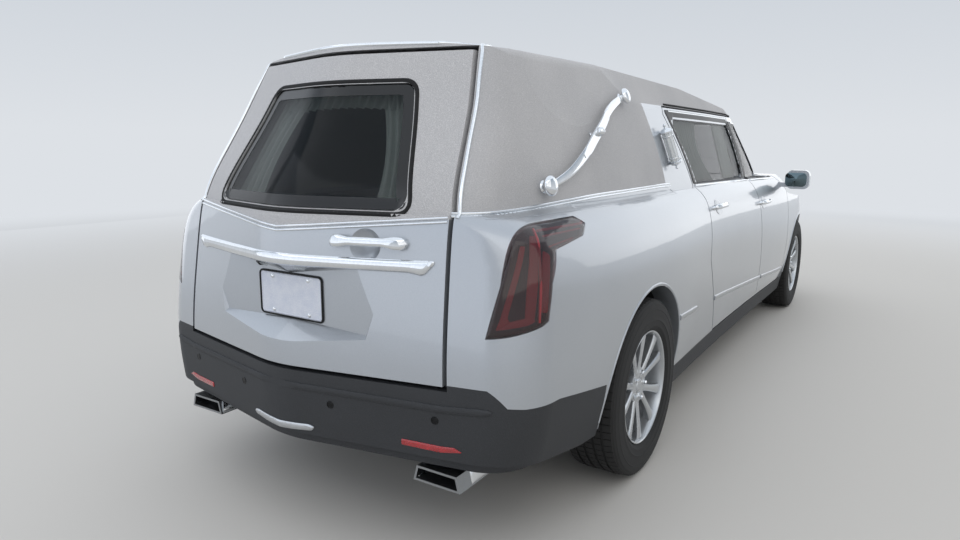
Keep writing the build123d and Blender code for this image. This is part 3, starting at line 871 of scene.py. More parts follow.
@dataclass
class Patch:
    """A panel laid on the bodywork inside an outline, with a crowned edge and a closed rim.

    height is how far its face stands off the bodywork, crown the height lost at the edge over the
    distance round, depth how far its back lies below the bodywork, and mesh the spacing of its points.
    """

    outline: Sequence[Flat]
    place: Callable[[float, float], Seat]
    height: float = 0.003
    depth: float = 0.006
    crown: float = 0.002
    round: float = 0.008
    mesh: float = 0.012
    holes: Sequence[Sequence[Flat]] = field(default_factory=list)

    def shape(self) -> Shape:
        """Makes the panel.

        Returns:
            The closed shape.
        """
        loops = [list(self.outline)] + [list(h) for h in self.holes]
        points: list[Flat] = []
        edges = []
        for loop in loops:
            dense: list[Flat] = []
            for a, b in zip(loop, loop[1:] + loop[:1]):
                n = max(1, round((Vector(b) - Vector(a)).length / self.mesh))
                dense += [tuple(Vector(a).lerp(Vector(b), k / n)) for k in range(n)]
            base = len(points)
            points += dense
            edges += [(base + k, base + (k + 1) % len(dense)) for k in range(len(dense))]
        for level in (0.35, 1.0):
            points += self.ring(loops, self.round * level)
        xs = [p[0] for p in self.outline]
        ys = [p[1] for p in self.outline]
        nx = int((max(xs) - min(xs)) / self.mesh) + 1
        ny = int((max(ys) - min(ys)) / self.mesh) + 1
        for i in range(nx + 1):
            for j in range(ny + 1):
                p = (min(xs) + i * self.mesh, min(ys) + j * self.mesh)
                if self.within(p, loops) > self.round * 1.25:
                    points.append(p)
        got, _, tris, _, _, _ = delaunay_2d_cdt([Vector(p) for p in points], edges, [], 0, 1e-6)
        keep = [
            t for t in tris if self.within(tuple(sum((got[i] for i in t), Vector((0, 0))) / 3), loops) > 0
        ]
        shape = Shape()
        fronts = []
        for p in got:
            seat = self.place(p.x, p.y)
            near = max(self.within(tuple(p), loops), 0.0)
            drop = self.crown * (1 - math.sqrt(max(0.0, 1 - (1 - min(near / self.round, 1.0)) ** 2)))
            fronts.append(seat.at + seat.out * (self.height - drop))
            shape.points.append(fronts[-1])
        backs = len(shape.points)
        shape.points += [self.place(p.x, p.y).at - self.place(p.x, p.y).out * self.depth for p in got]
        used: dict[tuple[int, int], int] = {}
        for t in keep:
            shape.face(t)
            shape.face([backs + i for i in reversed(t)])
            for a, b in zip(t, list(t[1:]) + [t[0]]):
                used[(a, b)] = used.get((a, b), 0) + 1
        for a, b in used:
            if (b, a) not in used:
                shape.face((b, a, backs + a, backs + b))
        return shape

    def within(self, point: Flat, loops: Sequence[Sequence[Flat]]) -> float:
        """Distance inside the panel's edge, negative outside it.

        Args:
            point: The point.
            loops: The panel's outline and then its holes.

        Returns:
            The distance.
        """
        near = min(inset_distance(point, loop) for loop in loops)
        good = inside(point, loops[0]) and not any(inside(point, hole) for hole in loops[1:])
        return near if good else -near

    def ring(self, loops: Sequence[Sequence[Flat]], distance: float) -> list[Flat]:
        """Points a distance inside every edge.

        Args:
            loops: Edges to stay inside.
            distance: How far inside.

        Returns:
            The points.
        """
        out = []
        for loop in loops:
            for a, b in zip(loop, list(loop[1:]) + [loop[0]]):
                step = Vector(b) - Vector(a)
                if step.length < 1e-6:
                    continue
                aside = Vector((-step.y, step.x)).normalized() * distance
                n = max(1, round(step.length / self.mesh))
                for k in range(n):
                    for sign in (1, -1):
                        p = Vector(a) + step * ((k + 0.5) / n) + aside * sign
                        near = self.within(tuple(p), loops)
                        if near > distance * 0.92:
                            out.append(tuple(p))
        return out


class Repeat:
    """A Geometry Nodes tree that repeats a piece by a step and a turn, for treads, spokes, nuts and bars."""

    def __init__(self) -> None:
        """Builds the tree once."""
        tree = bpy.data.node_groups.new("repeat_by_step_and_turn", "GeometryNodeTree")
        face = tree.interface
        face.new_socket("Geometry", in_out="INPUT", socket_type="NodeSocketGeometry")
        self.sockets = {}
        for name, kind in (
            ("Count", "NodeSocketInt"), ("Step", "NodeSocketVector"), ("Turn", "NodeSocketVector"),
            ("Finish", "NodeSocketMaterial"),
        ):
            self.sockets[name] = face.new_socket(name, in_out="INPUT", socket_type=kind).identifier
        face.new_socket("Geometry", in_out="OUTPUT", socket_type="NodeSocketGeometry")
        start = add_node(tree, "NodeGroupInput")
        spots = add_node(tree, "GeometryNodePoints", None, {"Count": start.outputs["Count"]})
        number = add_node(tree, "GeometryNodeInputIndex")
        step = add_node(
            tree, "ShaderNodeVectorMath", {"operation": "SCALE"},
            {0: start.outputs["Step"], "Scale": number.outputs[0]},
        )
        turn = add_node(
            tree, "ShaderNodeVectorMath", {"operation": "SCALE"},
            {0: start.outputs["Turn"], "Scale": number.outputs[0]},
        )
        moved = add_node(
            tree, "GeometryNodeSetPosition", None,
            {"Geometry": spots.outputs[0], "Position": step.outputs[0]},
        )
        copies = add_node(
            tree, "GeometryNodeInstanceOnPoints", None,
            {"Points": moved.outputs[0], "Instance": start.outputs[0], "Rotation": turn.outputs[0]},
        )
        real = add_node(tree, "GeometryNodeRealizeInstances", None, {"Geometry": copies.outputs[0]})
        done = add_node(
            tree, "GeometryNodeSetMaterial", None,
            {"Geometry": real.outputs[0], "Material": start.outputs["Finish"]},
        )
        add_node(tree, "NodeGroupOutput", None, {"Geometry": done.outputs[0]})
        self.tree = tree

    def of(self, item: Shape, count: int, step: Point, turn: Point, finish: Finish) -> Shape:
        """Repeats a shape and gives the result as a new shape.

        Args:
            item: The shape that is repeated.
            count: How many copies.
            step: Move from one copy to the next, in metres.
            turn: Turn from one copy to the next, in radians about x, y and z.
            finish: Finish of the copies.

        Returns:
            All the copies in one shape.
        """
        carrier = item.build("repeat_carrier", finish)
        modifier = carrier.modifiers.new("Repeat", "NODES")
        modifier.node_group = self.tree
        modifier[self.sockets["Count"]] = count
        modifier[self.sockets["Step"]] = step
        modifier[self.sockets["Turn"]] = turn
        modifier[self.sockets["Finish"]] = material_of(finish)
        carrier.update_tag()
        graph = bpy.context.evaluated_depsgraph_get()
        mesh = bpy.data.meshes.new_from_object(carrier.evaluated_get(graph))
        carrier.modifiers.remove(modifier)
        out = Shape()
        out.points = [v.co.copy() for v in mesh.vertices]
        for polygon in mesh.polygons:
            out.face(tuple(polygon.vertices))
        bpy.data.meshes.remove(mesh)
        bpy.data.objects.remove(carrier)
        return out


@dataclass
class Studio:
    """Pale floor, soft lamps and the camera at the photograph's place."""

    eye: Point = (-1.826, 4.437, 1.374)
    yaw: float = 0.575253
    pitch: float = 0.180106
    roll: float = 0.004213
    lens_mm: float = 25.64
    floor_radius: float = 60.0
    fade_from: float = 4.5
    fade_to: float = 13.0
    horizon: str = "#DDE1E6"
    zenith: str = "#93A3B5"
    daylight: str = "#E4E8EE"
    concrete: str = "#C9C8C5"
    segments: int = 96

    # Soft lamps as (name, place, aim, panel size, watts, colour).
    LAMPS = (
        ("overhead", (0.0, 1.0, 7.5), (0, 0.4, 0.8), (14.0, 18.0), 520, "#FFFFFF"),
        ("key_right_rear", (-7.5, 5.5, 5.5), (0, 1.0, 0.8), (14.0, 8.0), 220, "#FFF8EE"),
        ("fill_tail", (3.5, 8.5, 3.2), (0, 2.5, 0.9), (12.0, 7.0), 150, "#EEF4FF"),
        ("fill_left", (8.5, -1.0, 4.5), (0, -0.5, 0.8), (10.0, 10.0), 180, "#F4F8FF"),
        ("fill_nose", (-2.0, -9.0, 4.0), (0, -2.0, 0.7), (12.0, 7.0), 190, "#FFFFFF"),
    )

    def camera(self) -> None:
        """Places the camera."""
        cy, sy, cp, sp = math.cos(self.yaw), math.sin(self.yaw), math.cos(self.pitch), math.sin(self.pitch)
        ahead = Vector((sy * cp, -cy * cp, -sp))
        level = ahead.cross(Vector((0, 0, 1))).normalized()
        upright = level.cross(ahead)
        right = level * math.cos(self.roll) + upright * math.sin(self.roll)
        up = upright * math.cos(self.roll) - level * math.sin(self.roll)
        data = bpy.data.cameras.new("camera")
        data.lens = self.lens_mm
        data.sensor_width = 36.0
        data.clip_end = 200.0
        camera = bpy.data.objects.new("camera", data)
        bpy.context.scene.collection.objects.link(camera)
        matrix = Matrix((right, up, -ahead)).transposed().to_4x4()
        matrix.translation = self.eye
        camera.matrix_world = matrix
        bpy.context.scene.camera = camera

    def seen(self, tree: bpy.types.NodeTree) -> bpy.types.NodeSocket:
        """Share of rays from the camera, a mirror or glass.

        Args:
            tree: The tree that it is added to.

        Returns:
            A socket that is 1 for those rays and 0 for light that falls on the object.
        """
        rays = add_node(tree, "ShaderNodeLightPath")
        first = add_node(
            tree, "ShaderNodeMath", {"operation": "MAXIMUM"},
            {0: rays.outputs["Is Camera Ray"], 1: rays.outputs["Is Glossy Ray"]},
        )
        return add_node(
            tree, "ShaderNodeMath", {"operation": "MAXIMUM"},
            {0: first.outputs[0], 1: rays.outputs["Is Transmission Ray"]},
        ).outputs[0]

    def floor(self) -> None:
        """Lays the floor, a disc that fades into the background far out."""
        rings = [
            [
                Vector((r * math.cos(a), r * math.sin(a), -0.0005))
                for a in (math.tau * k / self.segments for k in range(self.segments))
            ]
            for r in (0.5, 4.0, 12.0, 25.0, self.floor_radius)
        ]
        shape = Shape().skin(rings, caps=False)
        shape.face(range(self.segments))
        disc = shape.build("floor", close=False)
        material = bpy.data.materials.new("studio_floor")
        material.use_nodes = True
        tree = material.node_tree
        shader = tree.nodes["Principled BSDF"]
        shader.inputs["Roughness"].default_value = 0.85
        shader.inputs["Base Color"].default_value = linear(self.concrete)
        place = add_node(tree, "ShaderNodeTexCoord")
        far = add_node(tree, "ShaderNodeVectorMath", {"operation": "LENGTH"}, {0: place.outputs["Object"]})
        fade = add_node(
            tree, "ShaderNodeMapRange", {"interpolation_type": "SMOOTHSTEP"},
            {"Value": far.outputs["Value"]}, From_Min=self.fade_from, From_Max=self.fade_to,
        )
        both = add_node(
            tree, "ShaderNodeMath", {"operation": "MULTIPLY"}, {0: fade.outputs[0], 1: self.seen(tree)},
        )
        glow = add_node(tree, "ShaderNodeEmission", Color=linear(self.horizon), Strength=1.0)
        mix = add_node(
            tree, "ShaderNodeMixShader", None,
            {0: both.outputs[0], 1: shader.outputs[0], 2: glow.outputs[0]},
        )
        tree.links.new(mix.outputs[0], tree.nodes["Material Output"].inputs["Surface"])
        disc.data.materials.append(material)

    def world(self) -> None:
        """Makes the background: pale at the horizon, a cooler grey overhead."""
        world = bpy.data.worlds.new("studio")
        bpy.context.scene.world = world
        world.use_nodes = True
        tree = world.node_tree
        tree.nodes.clear()
        place = add_node(tree, "ShaderNodeTexCoord")
        split = add_node(tree, "ShaderNodeSeparateXYZ", None, {0: place.outputs["Generated"]})
        height = add_node(
            tree, "ShaderNodeMapRange", None, {"Value": split.outputs["Z"]}, From_Min=0.02, From_Max=0.8,
        )
        ramp = add_node(tree, "ShaderNodeMix", {"data_type": "RGBA"}, {0: height.outputs[0]})
        ramp.inputs[6].default_value = linear(self.horizon)
        ramp.inputs[7].default_value = linear(self.zenith)
        shown = add_node(tree, "ShaderNodeBackground", None, {"Color": ramp.outputs[2]}, Strength=1.0)
        light = add_node(tree, "ShaderNodeBackground", Color=linear(self.daylight), Strength=0.5)
        mix = add_node(
            tree, "ShaderNodeMixShader", None,
            {0: self.seen(tree), 1: light.outputs[0], 2: shown.outputs[0]},
        )
        add_node(tree, "ShaderNodeOutputWorld", None, {"Surface": mix.outputs[0]})

    def lamp(self, name: str, at: Point, aim: Point, size: Flat, watts: float, colour: str) -> None:
        """Hangs one soft lamp.

        Args:
            name: Its name.
            at: Where it hangs.
            aim: The point it faces.
            size: Width and height of its panel.
            watts: Its power.
            colour: Its colour as sRGB hex.
        """
        data = bpy.data.lights.new(name, "AREA")
        data.shape = "RECTANGLE"
        data.size, data.size_y = size
        data.energy = watts
        data.color = linear(colour)[:3]
        lamp = bpy.data.objects.new(name, data)
        bpy.context.scene.collection.objects.link(lamp)
        lamp.location = at
        lamp.rotation_euler = (Vector(aim) - Vector(at)).to_track_quat("-Z", "Y").to_euler()

    def build(self) -> None:
        """Sets up the stage, the lamps and the colour view."""
        self.camera()
        self.floor()
        self.world()
        for lamp in self.LAMPS:
            self.lamp(*lamp)
        bpy.context.scene.view_settings.view_transform = "Standard"


@dataclass(frozen=True)
class TwoTone(Finish):
    """One finish below a V line and another above it, for a panel that is one piece.

    line is the height of the V on the centre line and rise its climb for each metre outwards.
    """

    below: Finish = SILVER_PAINT
    above: Finish = VINYL
    line: float = 1.0975
    rise: float = 0.0845

    def colouring(
        self, tree: bpy.types.NodeTree, shader: bpy.types.Node, space: bpy.types.NodeSocket,
    ) -> None:
        """Mixes the colour, shine and grain of the two finishes by height.

        Args:
            tree: The material's tree.
            shader: The Principled shader.
            space: The pattern space.
        """
        place = add_node(tree, "ShaderNodeSeparateXYZ", None, {0: space})
        wide = add_node(tree, "ShaderNodeMath", {"operation": "ABSOLUTE"}, {0: place.outputs["X"]})
        edge = add_node(tree, "ShaderNodeMath", {"operation": "MULTIPLY_ADD"}, {0: wide.outputs[0]})
        edge.inputs[1].default_value = -self.rise
        tree.links.new(place.outputs["Z"], edge.inputs[2])
        over = add_node(tree, "ShaderNodeMath", {"operation": "GREATER_THAN"}, {0: edge.outputs[0]})
        over.inputs[1].default_value = self.line
        colours, heights = [], []
        for finish in (self.below, self.above):
            kind, output = ("ShaderNodeTexVoronoi", "Distance") if finish.cells else (
                "ShaderNodeTexNoise", "Fac",
            )
            pattern = add_node(
                tree, kind, None, {"Vector": space}, Scale=1000 / finish.grain_mm,
            ).outputs[output]
            spread = add_node(
                tree, "ShaderNodeMapRange", None, {"Value": pattern}, From_Min=0.2, From_Max=0.8,
            )
            tone = add_node(tree, "ShaderNodeMix", {"data_type": "RGBA"}, {0: spread.outputs[0]})
            tone.inputs[6].default_value = linear(finish.colour)
            tone.inputs[7].default_value = linear(finish.second)
            colours.append(tone.outputs[2])
            heights.append(add_node(tree, "ShaderNodeMath", {"operation": "MULTIPLY"}, {0: pattern}))
            heights[-1].inputs[1].default_value = finish.relief * finish.grain_mm / 2000
        base = add_node(
            tree, "ShaderNodeMix", {"data_type": "RGBA"}, {0: over.outputs[0], 6: colours[0], 7: colours[1]},
        )
        tree.links.new(base.outputs[2], shader.inputs["Base Color"])
        coats = [dict(finish.sockets).get("Coat Weight", 0.0) for finish in (self.below, self.above)]
        swaps = (
            ("Metallic", self.below.metallic, self.above.metallic),
            ("Roughness", self.below.roughness, self.above.roughness), ("Coat Weight", *coats),
        )
        for name, low, high in swaps:
            value = add_node(
                tree, "ShaderNodeMapRange", None, {"Value": over.outputs[0]}, To_Min=low, To_Max=high,
            )
            tree.links.new(value.outputs[0], shader.inputs[name])
        relief = add_node(
            tree, "ShaderNodeMix", {"data_type": "FLOAT"},
            {0: over.outputs[0], 2: heights[0].outputs[0], 3: heights[1].outputs[0]},
        )
        bump = add_node(
            tree, "ShaderNodeBump", None, {"Height": relief.outputs[0]}, Strength=1.0, Distance=1.0,
        )
        tree.links.new(bump.outputs["Normal"], shader.inputs["Normal"])


TAILGATE_SKIN = TwoTone(
    "rear_door_paint_and_vinyl", "#A6ABB2", "#B7BCC2", sockets=(("Coat Roughness", 0.03),),
)
NOSE_SKIN = TwoTone(
    "nose_paint_and_moulding", "#A6ABB2", "#B7BCC2", below=TRIM, above=SILVER_PAINT, line=0.395, rise=0.0,
    sockets=(("Coat Roughness", 0.03),),
)


@dataclass
class Coachwork:
    """Finishes of the CAD nodes whose shape stays."""

    def finishes(self) -> dict[str, Finish]:
        """Finish of each CAD node that stays."""
        out: dict[str, Finish] = {
            "tailgate": TAILGATE_SKIN, "front_bumper": NOSE_SKIN, "windscreen": CLEAR_GLASS,
            "tailgate_glass": TINTED_GLASS,
        }
        groups = (
            (SILVER_PAINT, "coach_panels cowl hood fender_* front_door_* rear_door_* quarter_* mirror_*"),
            (VINYL, "roof landau_panels"),
            (TRIM, "rear_bumper sills"),
            (TINTED_GLASS, "front_door_glass_* rear_door_glass_*"),
            (UNDERBODY, "floor_pan wheelhouses subframes engine_block knuckle_*"),
            (RUBBER, "front_tyre_* rear_tyre_*"),
            (ALLOY, "front_rim_* rear_rim_*"),
            (DASH, "dashboard steering_wheel"),
            (CHROME, "belt_mouldings landau_bars coach_lamps tailgate_trim"),
            (STEEL, "deck_rollers exhaust"),
            (GLOSS_BLACK, "grille"),
            (WALNUT, "casket_deck"),
            (CLEAR_LENS, "headlamps"),
            (SMOKED_LENS, "tail_lamps"),
            (PLATE_PAINT, "number_plate"),
        )
        for finish, names in groups:
            for name in names.split():
                for side in ("left", "right") if name.endswith("*") else ("",):
                    out[name.replace("*", side)] = finish
        return out

    def build(self) -> None:
        """Dresses the nodes."""
        for name, finish in self.finishes().items():
            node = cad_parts[name]
            node.data.materials.clear()
            node.data.materials.append(material_of(finish))
            LOG.info("%s finished in %s", name, finish.name)


@dataclass
class RoadWheel:
    """One road wheel: tyre, painted ten-spoke rim, nuts, brake disc and caliper."""

    end: str
    side: str
    tyre_r: float = 0.3757
    groove_r: float = 0.3685
    half_width: float = 0.1175
    rim_r: float = 0.2405
    pitches: int = 72
    pairs: int = 5
    nut_circle: float = 0.0575
    disc_r: float = 0.17
    caliper_r: float = 0.15
    caliper_from: float = 152.0
    caliper_span: float = 56.0

    TREAD = ((-0.0545, -0.0255), (-0.0155, 0.0155), (0.0255, 0.0545))
    SHOULDERS = ((-0.0995, -0.0645), (0.0645, 0.0995))
    # Cross-sections of a spoke as (radius, degrees off the pair's middle, width, face, depth).
    SPOKE = (
        (0.03, 5.0, 0.03, 0.07, 0.03), (0.052, 11.5, 0.034, 0.073, 0.034),
        (0.078, 13.6, 0.03, 0.0765, 0.034), (0.11, 14.6, 0.0275, 0.0805, 0.032),
        (0.15, 15.4, 0.0295, 0.0855, 0.03), (0.19, 16.0, 0.035, 0.09, 0.03),
        (0.214, 16.3, 0.043, 0.092, 0.034), (0.2275, 16.5, 0.054, 0.0925, 0.044),
    )
    # One section as (share of the width, place beside the face), where -1 stands for the back.
    SPOKE_SECTION = (
        (-0.5, -0.0075), (-0.34, -0.002), (-0.06, 0.0), (0.06, 0.0), (0.34, -0.002), (0.5, -0.0075),
        (0.36, -1.0), (-0.36, -1.0),
    )

    def __post_init__(self) -> None:
        """Finds the wheel's centre from its CAD tyre."""
        low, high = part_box(f"{self.end}_tyre_{self.side}")
        self.centre = (low + high) / 2
        self.sign = 1.0 if self.side == "left" else -1.0
        self.body = f"wheel_{self.end}_{self.side}"
        self.place = Matrix.Translation(self.centre) @ Matrix.Diagonal((self.sign, 1, 1, 1))

    def tyre(self, repeat: Repeat) -> None:
        """Makes the carcass with its ribbed sidewalls, and the tread blocks.

        Args:
            repeat: Tree that repeats a piece.
        """
        g, w = self.groove_r, self.half_width
        outer = [
            (g, 0.0), (g, 0.06), (0.3672, 0.064), (0.369, 0.099), (0.364, 0.106), (0.356, 0.1095),
            (0.354, 0.1118), (0.348, 0.1132), (0.333, 0.1156), (0.332, 0.1166), (0.329, 0.1168),
            (0.3275, 0.116), (0.305, w), (0.29, 0.1172), (0.288, 0.118), (0.2855, 0.118), (0.284, 0.1166),
            (0.268, 0.113), (0.262, 0.1135), (0.2585, 0.112), (0.25, 0.104), (0.244, 0.101), (0.238, 0.098),
            (0.233, 0.09), (0.233, 0.076),
        ]
        inner = [(0.256, 0.086), (0.3, 0.104), (0.34, 0.098), (0.355, 0.07), (0.359, 0.0)]
        half = outer + inner
        profile = half + [(r, -x) for r, x in reversed(half[1:-1])]
        carcass = lathe(profile, 120)
        pitch = math.tau / self.pitches
        block = Shape()
        for lo, hi in self.TREAD + self.SHOULDERS:
            edge = (lo, hi) in self.SHOULDERS
            rings = []
            for radius, trim in ((g - 0.002, 0.0), (self.tyre_r - 0.0008, 0.0006), (self.tyre_r, 0.0016)):
                ring = []
                for x, a in ((lo + trim, -0.44), (hi - trim, -0.44), (hi - trim, 0.44), (lo + trim, 0.44)):
                    skew = (x / self.half_width) * 0.16
                    drop = 0.0035 if edge and abs(x) > 0.09 and radius > g else 0.0
                    angle = pitch * (a + skew)
                    ring.append(Vector((
                        x, (radius - drop) * math.cos(angle), (radius - drop) * math.sin(angle),
                    )))
                rings.append(ring)
            block.skin(rings)
        blocks = repeat.of(block, self.pitches, (0, 0, 0), (pitch, 0, 0), RUBBER)
        shape = Shape().join(carcass, self.place).join(blocks, self.place)
        shape.fit(
            f"{self.end}_{self.side}_tyre_tread", RUBBER, self.body, Slot.TYRE,
            f"{self.end}_tyre_{self.side}", sharp=28,
        )

    def spoke(self) -> Shape:
        """Makes one pair of spokes, ridged down the middle and joined at the hub."""
        pair = Shape()
        for lean in (-1, 1):
            rings = []
            for r, off, width, face, deep in self.SPOKE:
                a = math.radians(off * lean)
                radial = Vector((0, math.cos(a), math.sin(a)))
                tangent = Vector((0, -math.sin(a), math.cos(a)))
                ring = []
                for t, x in self.SPOKE_SECTION:
                    ring.append(
                        radial * r + tangent * (t * width) + Vector((face + (x if x > -1 else -deep), 0, 0))
                    )
                rings.append(ring)
            pair.skin(rings)
        return pair

    def rim(self, repeat: Repeat) -> None:
        """Makes the barrel, spokes, hub, bare centre cap, and the nuts in their seats.

        Args:
            repeat: Tree that repeats a piece.
        """
        r = self.rim_r
        barrel = lathe([
            (r - 0.0015, 0.0985), (r, 0.1015), (r - 0.0015, 0.104), (r - 0.0045, 0.1042),
            (r - 0.008, 0.1015), (r - 0.0105, 0.095), (r - 0.0135, 0.078), (0.2225, 0.045), (0.219, 0.01),
            (0.219, -0.06), (0.224, -0.086), (0.236, -0.0965), (0.239, -0.099), (0.2405, -0.096),
            (0.232, -0.088), (0.229, -0.06), (0.227, 0.01), (0.23, 0.05), (0.2345, 0.085),
        ], 96)
        hub = lathe([
            (0.0, 0.068), (0.034, 0.069), (0.04, 0.074), (0.07, 0.0735), (0.078, 0.07), (0.08, 0.06),
            (0.076, 0.018), (0.0, 0.018),
        ], 60)
        step = math.tau / self.pairs
        spokes = repeat.of(self.spoke(), self.pairs, (0, 0, 0), (step, 0, 0), ALLOY)
        cap = lathe([
            (0.0, 0.08), (0.012, 0.0797), (0.024, 0.0785), (0.0295, 0.0765), (0.031, 0.0735),
            (0.033, 0.0728), (0.0345, 0.07), (0.0, 0.069),
        ], 48)
        shape = Shape()
        for part in (barrel, hub, spokes, cap):
            shape.join(part, self.place)
        piece = shape.build(f"{self.end}_{self.side}_rim_cast", ALLOY, sharp=26)
        fit(piece, self.body, Slot.ALLOY, f"{self.end}_rim_{self.side}")
        nut = lathe([
            (0.0, 0.087), (0.0045, 0.0868), (0.0072, 0.085), (0.0082, 0.083), (0.0094, 0.074),
            (0.0115, 0.0725), (0.0, 0.07),
        ], 6)
        spot = Shape().join(nut, Matrix.Translation((0, self.nut_circle, 0)))
        nuts = repeat.of(spot, self.pairs, (0, 0, 0), (step, 0, 0), CHROME)
        turned = self.place @ Matrix.Rotation(step / 2, 4, "X")
        well = lathe([
            (0.0, 0.0738), (0.0115, 0.0738), (0.0135, 0.0746), (0.015, 0.0738), (0.015, 0.07), (0.0, 0.07),
        ], 20)
        wells = repeat.of(
            Shape().join(well, Matrix.Translation((0, self.nut_circle, 0))), self.pairs, (0, 0, 0),
            (step, 0, 0), SATIN,
        )
        Shape().join(nuts, turned).fit(f"{self.end}_{self.side}_wheel_nuts", CHROME, self.body, Slot.CHROME)
        Shape().join(wells, turned).fit(f"{self.end}_{self.side}_nut_seats", SATIN, self.body, Slot.ALLOY)

    def brake(self) -> None:
        """Makes the disc, which turns with the wheel, and the caliper, which doesn't."""
        disc = lathe([
            (0.075, 0.014), (0.08, 0.006), (0.112, 0.004), (0.116, 0.001), (self.disc_r, 0.001),
            (self.disc_r, -0.009), (0.116, -0.009), (0.075, -0.004), (0.055, -0.004), (0.055, 0.014),
        ], 72)
        shape = Shape().join(disc, self.place)
        shape.fit(f"{self.end}_{self.side}_brake_disc", DISC, self.body, Slot.STEEL)
        rings = []
        for k in range(13):
            a = math.radians(self.caliper_from + self.caliper_span * k / 12)
            grow = 0.006 * math.sin(math.pi * k / 12)
            ring = []
            for u, v in rounded(0.058, 0.062 + grow, 0.012, 3):
                rr = self.caliper_r + v
                ring.append(Vector((u - 0.004, rr * math.cos(a), rr * math.sin(a))))
            rings.append(ring)
        caliper = Shape().skin(rings)
        body = f"knuckle_{self.side}" if self.end == "front" else "chassis"
        Shape().join(caliper, self.place).fit(f"{self.end}_{self.side}_caliper", SATIN, body, Slot.STEEL)

    def build(self, repeat: Repeat) -> None:
        """Makes the whole wheel.

        Args:
            repeat: Tree that repeats a piece.
        """
        self.tyre(repeat)
        self.rim(repeat)
        self.brake()


@dataclass
class TailLamps:
    """Wrap-round tail lamps: a dark well, red light guides and a smoked lens, laid on the rear corners."""

    hull: Hull
    lens_proud: float = 0.002
    line_sink: float = 0.0125
    ridge_sink: float = 0.006
    well_depth: float = 0.017

    OUTLINE = (
        (2.647, 0.788, 1.109), (2.612, 0.789, 1.125), (2.559, 0.793, 1.132), (2.441, 0.804, 1.133),
        (2.299, 0.815, 1.136), (2.268, 0.826, 1.128), (2.262, 0.84, 1.11), (2.29, 0.86, 1.09),
        (2.34, 0.871, 1.075), (2.524, 0.871, 1.053), (2.556, 0.88, 1.012), (2.579, 0.89, 0.957),
        (2.606, 0.894, 0.843), (2.632, 0.886, 0.83), (2.757, 0.755, 0.797), (2.719, 0.784, 0.957),
    )
    # Outlines of the red light guides, as (length, half width, height).
    GUIDES = (
        (
            (2.65, 0.814, 1.077), (2.635, 0.825, 1.076), (2.721, 0.812, 0.862), (2.716, 0.818, 0.853),
            (2.743, 0.782, 0.825), (2.735, 0.79, 0.85),
        ),
        (
            (2.743, 0.782, 0.825), (2.674, 0.863, 0.838), (2.65, 0.874, 0.848), (2.66, 0.866, 0.864),
            (2.718, 0.818, 0.851),
        ),
        (
            (2.597, 0.818, 1.106), (2.576, 0.827, 1.104), (2.631, 0.871, 0.963), (2.654, 0.874, 0.856),
            (2.682, 0.855, 0.86), (2.663, 0.85, 0.966),
        ),
        (
            (2.579, 0.86, 1.059), (2.557, 0.872, 1.043), (2.59, 0.889, 0.94), (2.603, 0.893, 0.868),
            (2.634, 0.882, 0.872), (2.62, 0.876, 0.962),
        ),
    )
    # Thin light lines of the arm as (start, end, width), and the crease between the lamp's two faces.
    LINES = (
        ((2.558, 0.813, 1.119), (2.262, 0.84, 1.119), 0.009),
        ((2.535, 0.836, 1.101), (2.304, 0.852, 1.104), 0.007),
        ((2.537, 0.862, 1.068), (2.385, 0.866, 1.079), 0.006),
    )
    RIDGE = ((2.558, 0.808, 1.122), (2.588, 0.845, 1.079), (2.622, 0.874, 0.96), (2.64, 0.882, 0.842))

    @staticmethod
    def flat(point: Sequence[float]) -> Flat:
        """Turns (length, half width, height) to the corner's own (u, height)."""
        return (point[0] - point[1]) / math.sqrt(2), point[2]

    def build(self) -> None:
        """Makes both lamps."""
        lens, guides, well = Shape(), Shape(), Shape()
        for _, side in SIDES:

            def place(u: float, z: float, side: float = side) -> Seat:
                """Place on this side's rear corner."""
                return self.hull.corner(side, u, z)

            outline = round_outline([self.flat(p) for p in self.OUTLINE], 0.01, 3)
            lens.join(Patch(
                outline, place, height=self.lens_proud, depth=0.0035, crown=0.003, round=0.01, mesh=0.01,
            ).shape())
            well.join(Patch(
                outline, place, height=-self.well_depth + 0.004, depth=self.well_depth + 0.004, crown=0.0,
                round=0.004, mesh=0.014,
            ).shape())
            for bar in self.GUIDES:
                shape = round_outline([self.flat(p) for p in bar], 0.004, 2)
                guides.join(Patch(
                    shape, place, height=-0.005, depth=0.0125, crown=0.0025, round=0.005, mesh=0.01,
                ).shape())
            for start, end, width in self.LINES:
                seats = row(place, self.flat(start), self.flat(end), 14)
                guides.join(strip([s.raised(-self.line_sink) for s in seats], bead(width, 0.007, 0.001)))
            seats = [place(*self.flat(p)) for p in self.RIDGE]
            line = curve_through([s.at for s in seats], 22)
            outs = [seats[min(int(k / 22 * 4), 3)].out for k in range(22)]
            guides.join(strip(
                [Seat(p, o).raised(-self.ridge_sink) for p, o in zip(line, outs)], bead(0.01, 0.0035, 0.002),
            ))
        well.fit("tail_lamp_wells", LAMP_WELL, "chassis", Slot.DARK_TRIM)
        guides.fit("tail_lamp_guides", RED_GUIDE, "chassis", Slot.RED_LENS)
        lens.fit("tail_lamp_lenses", SMOKED_LENS, "chassis", Slot.RED_LENS, "tail_lamps")


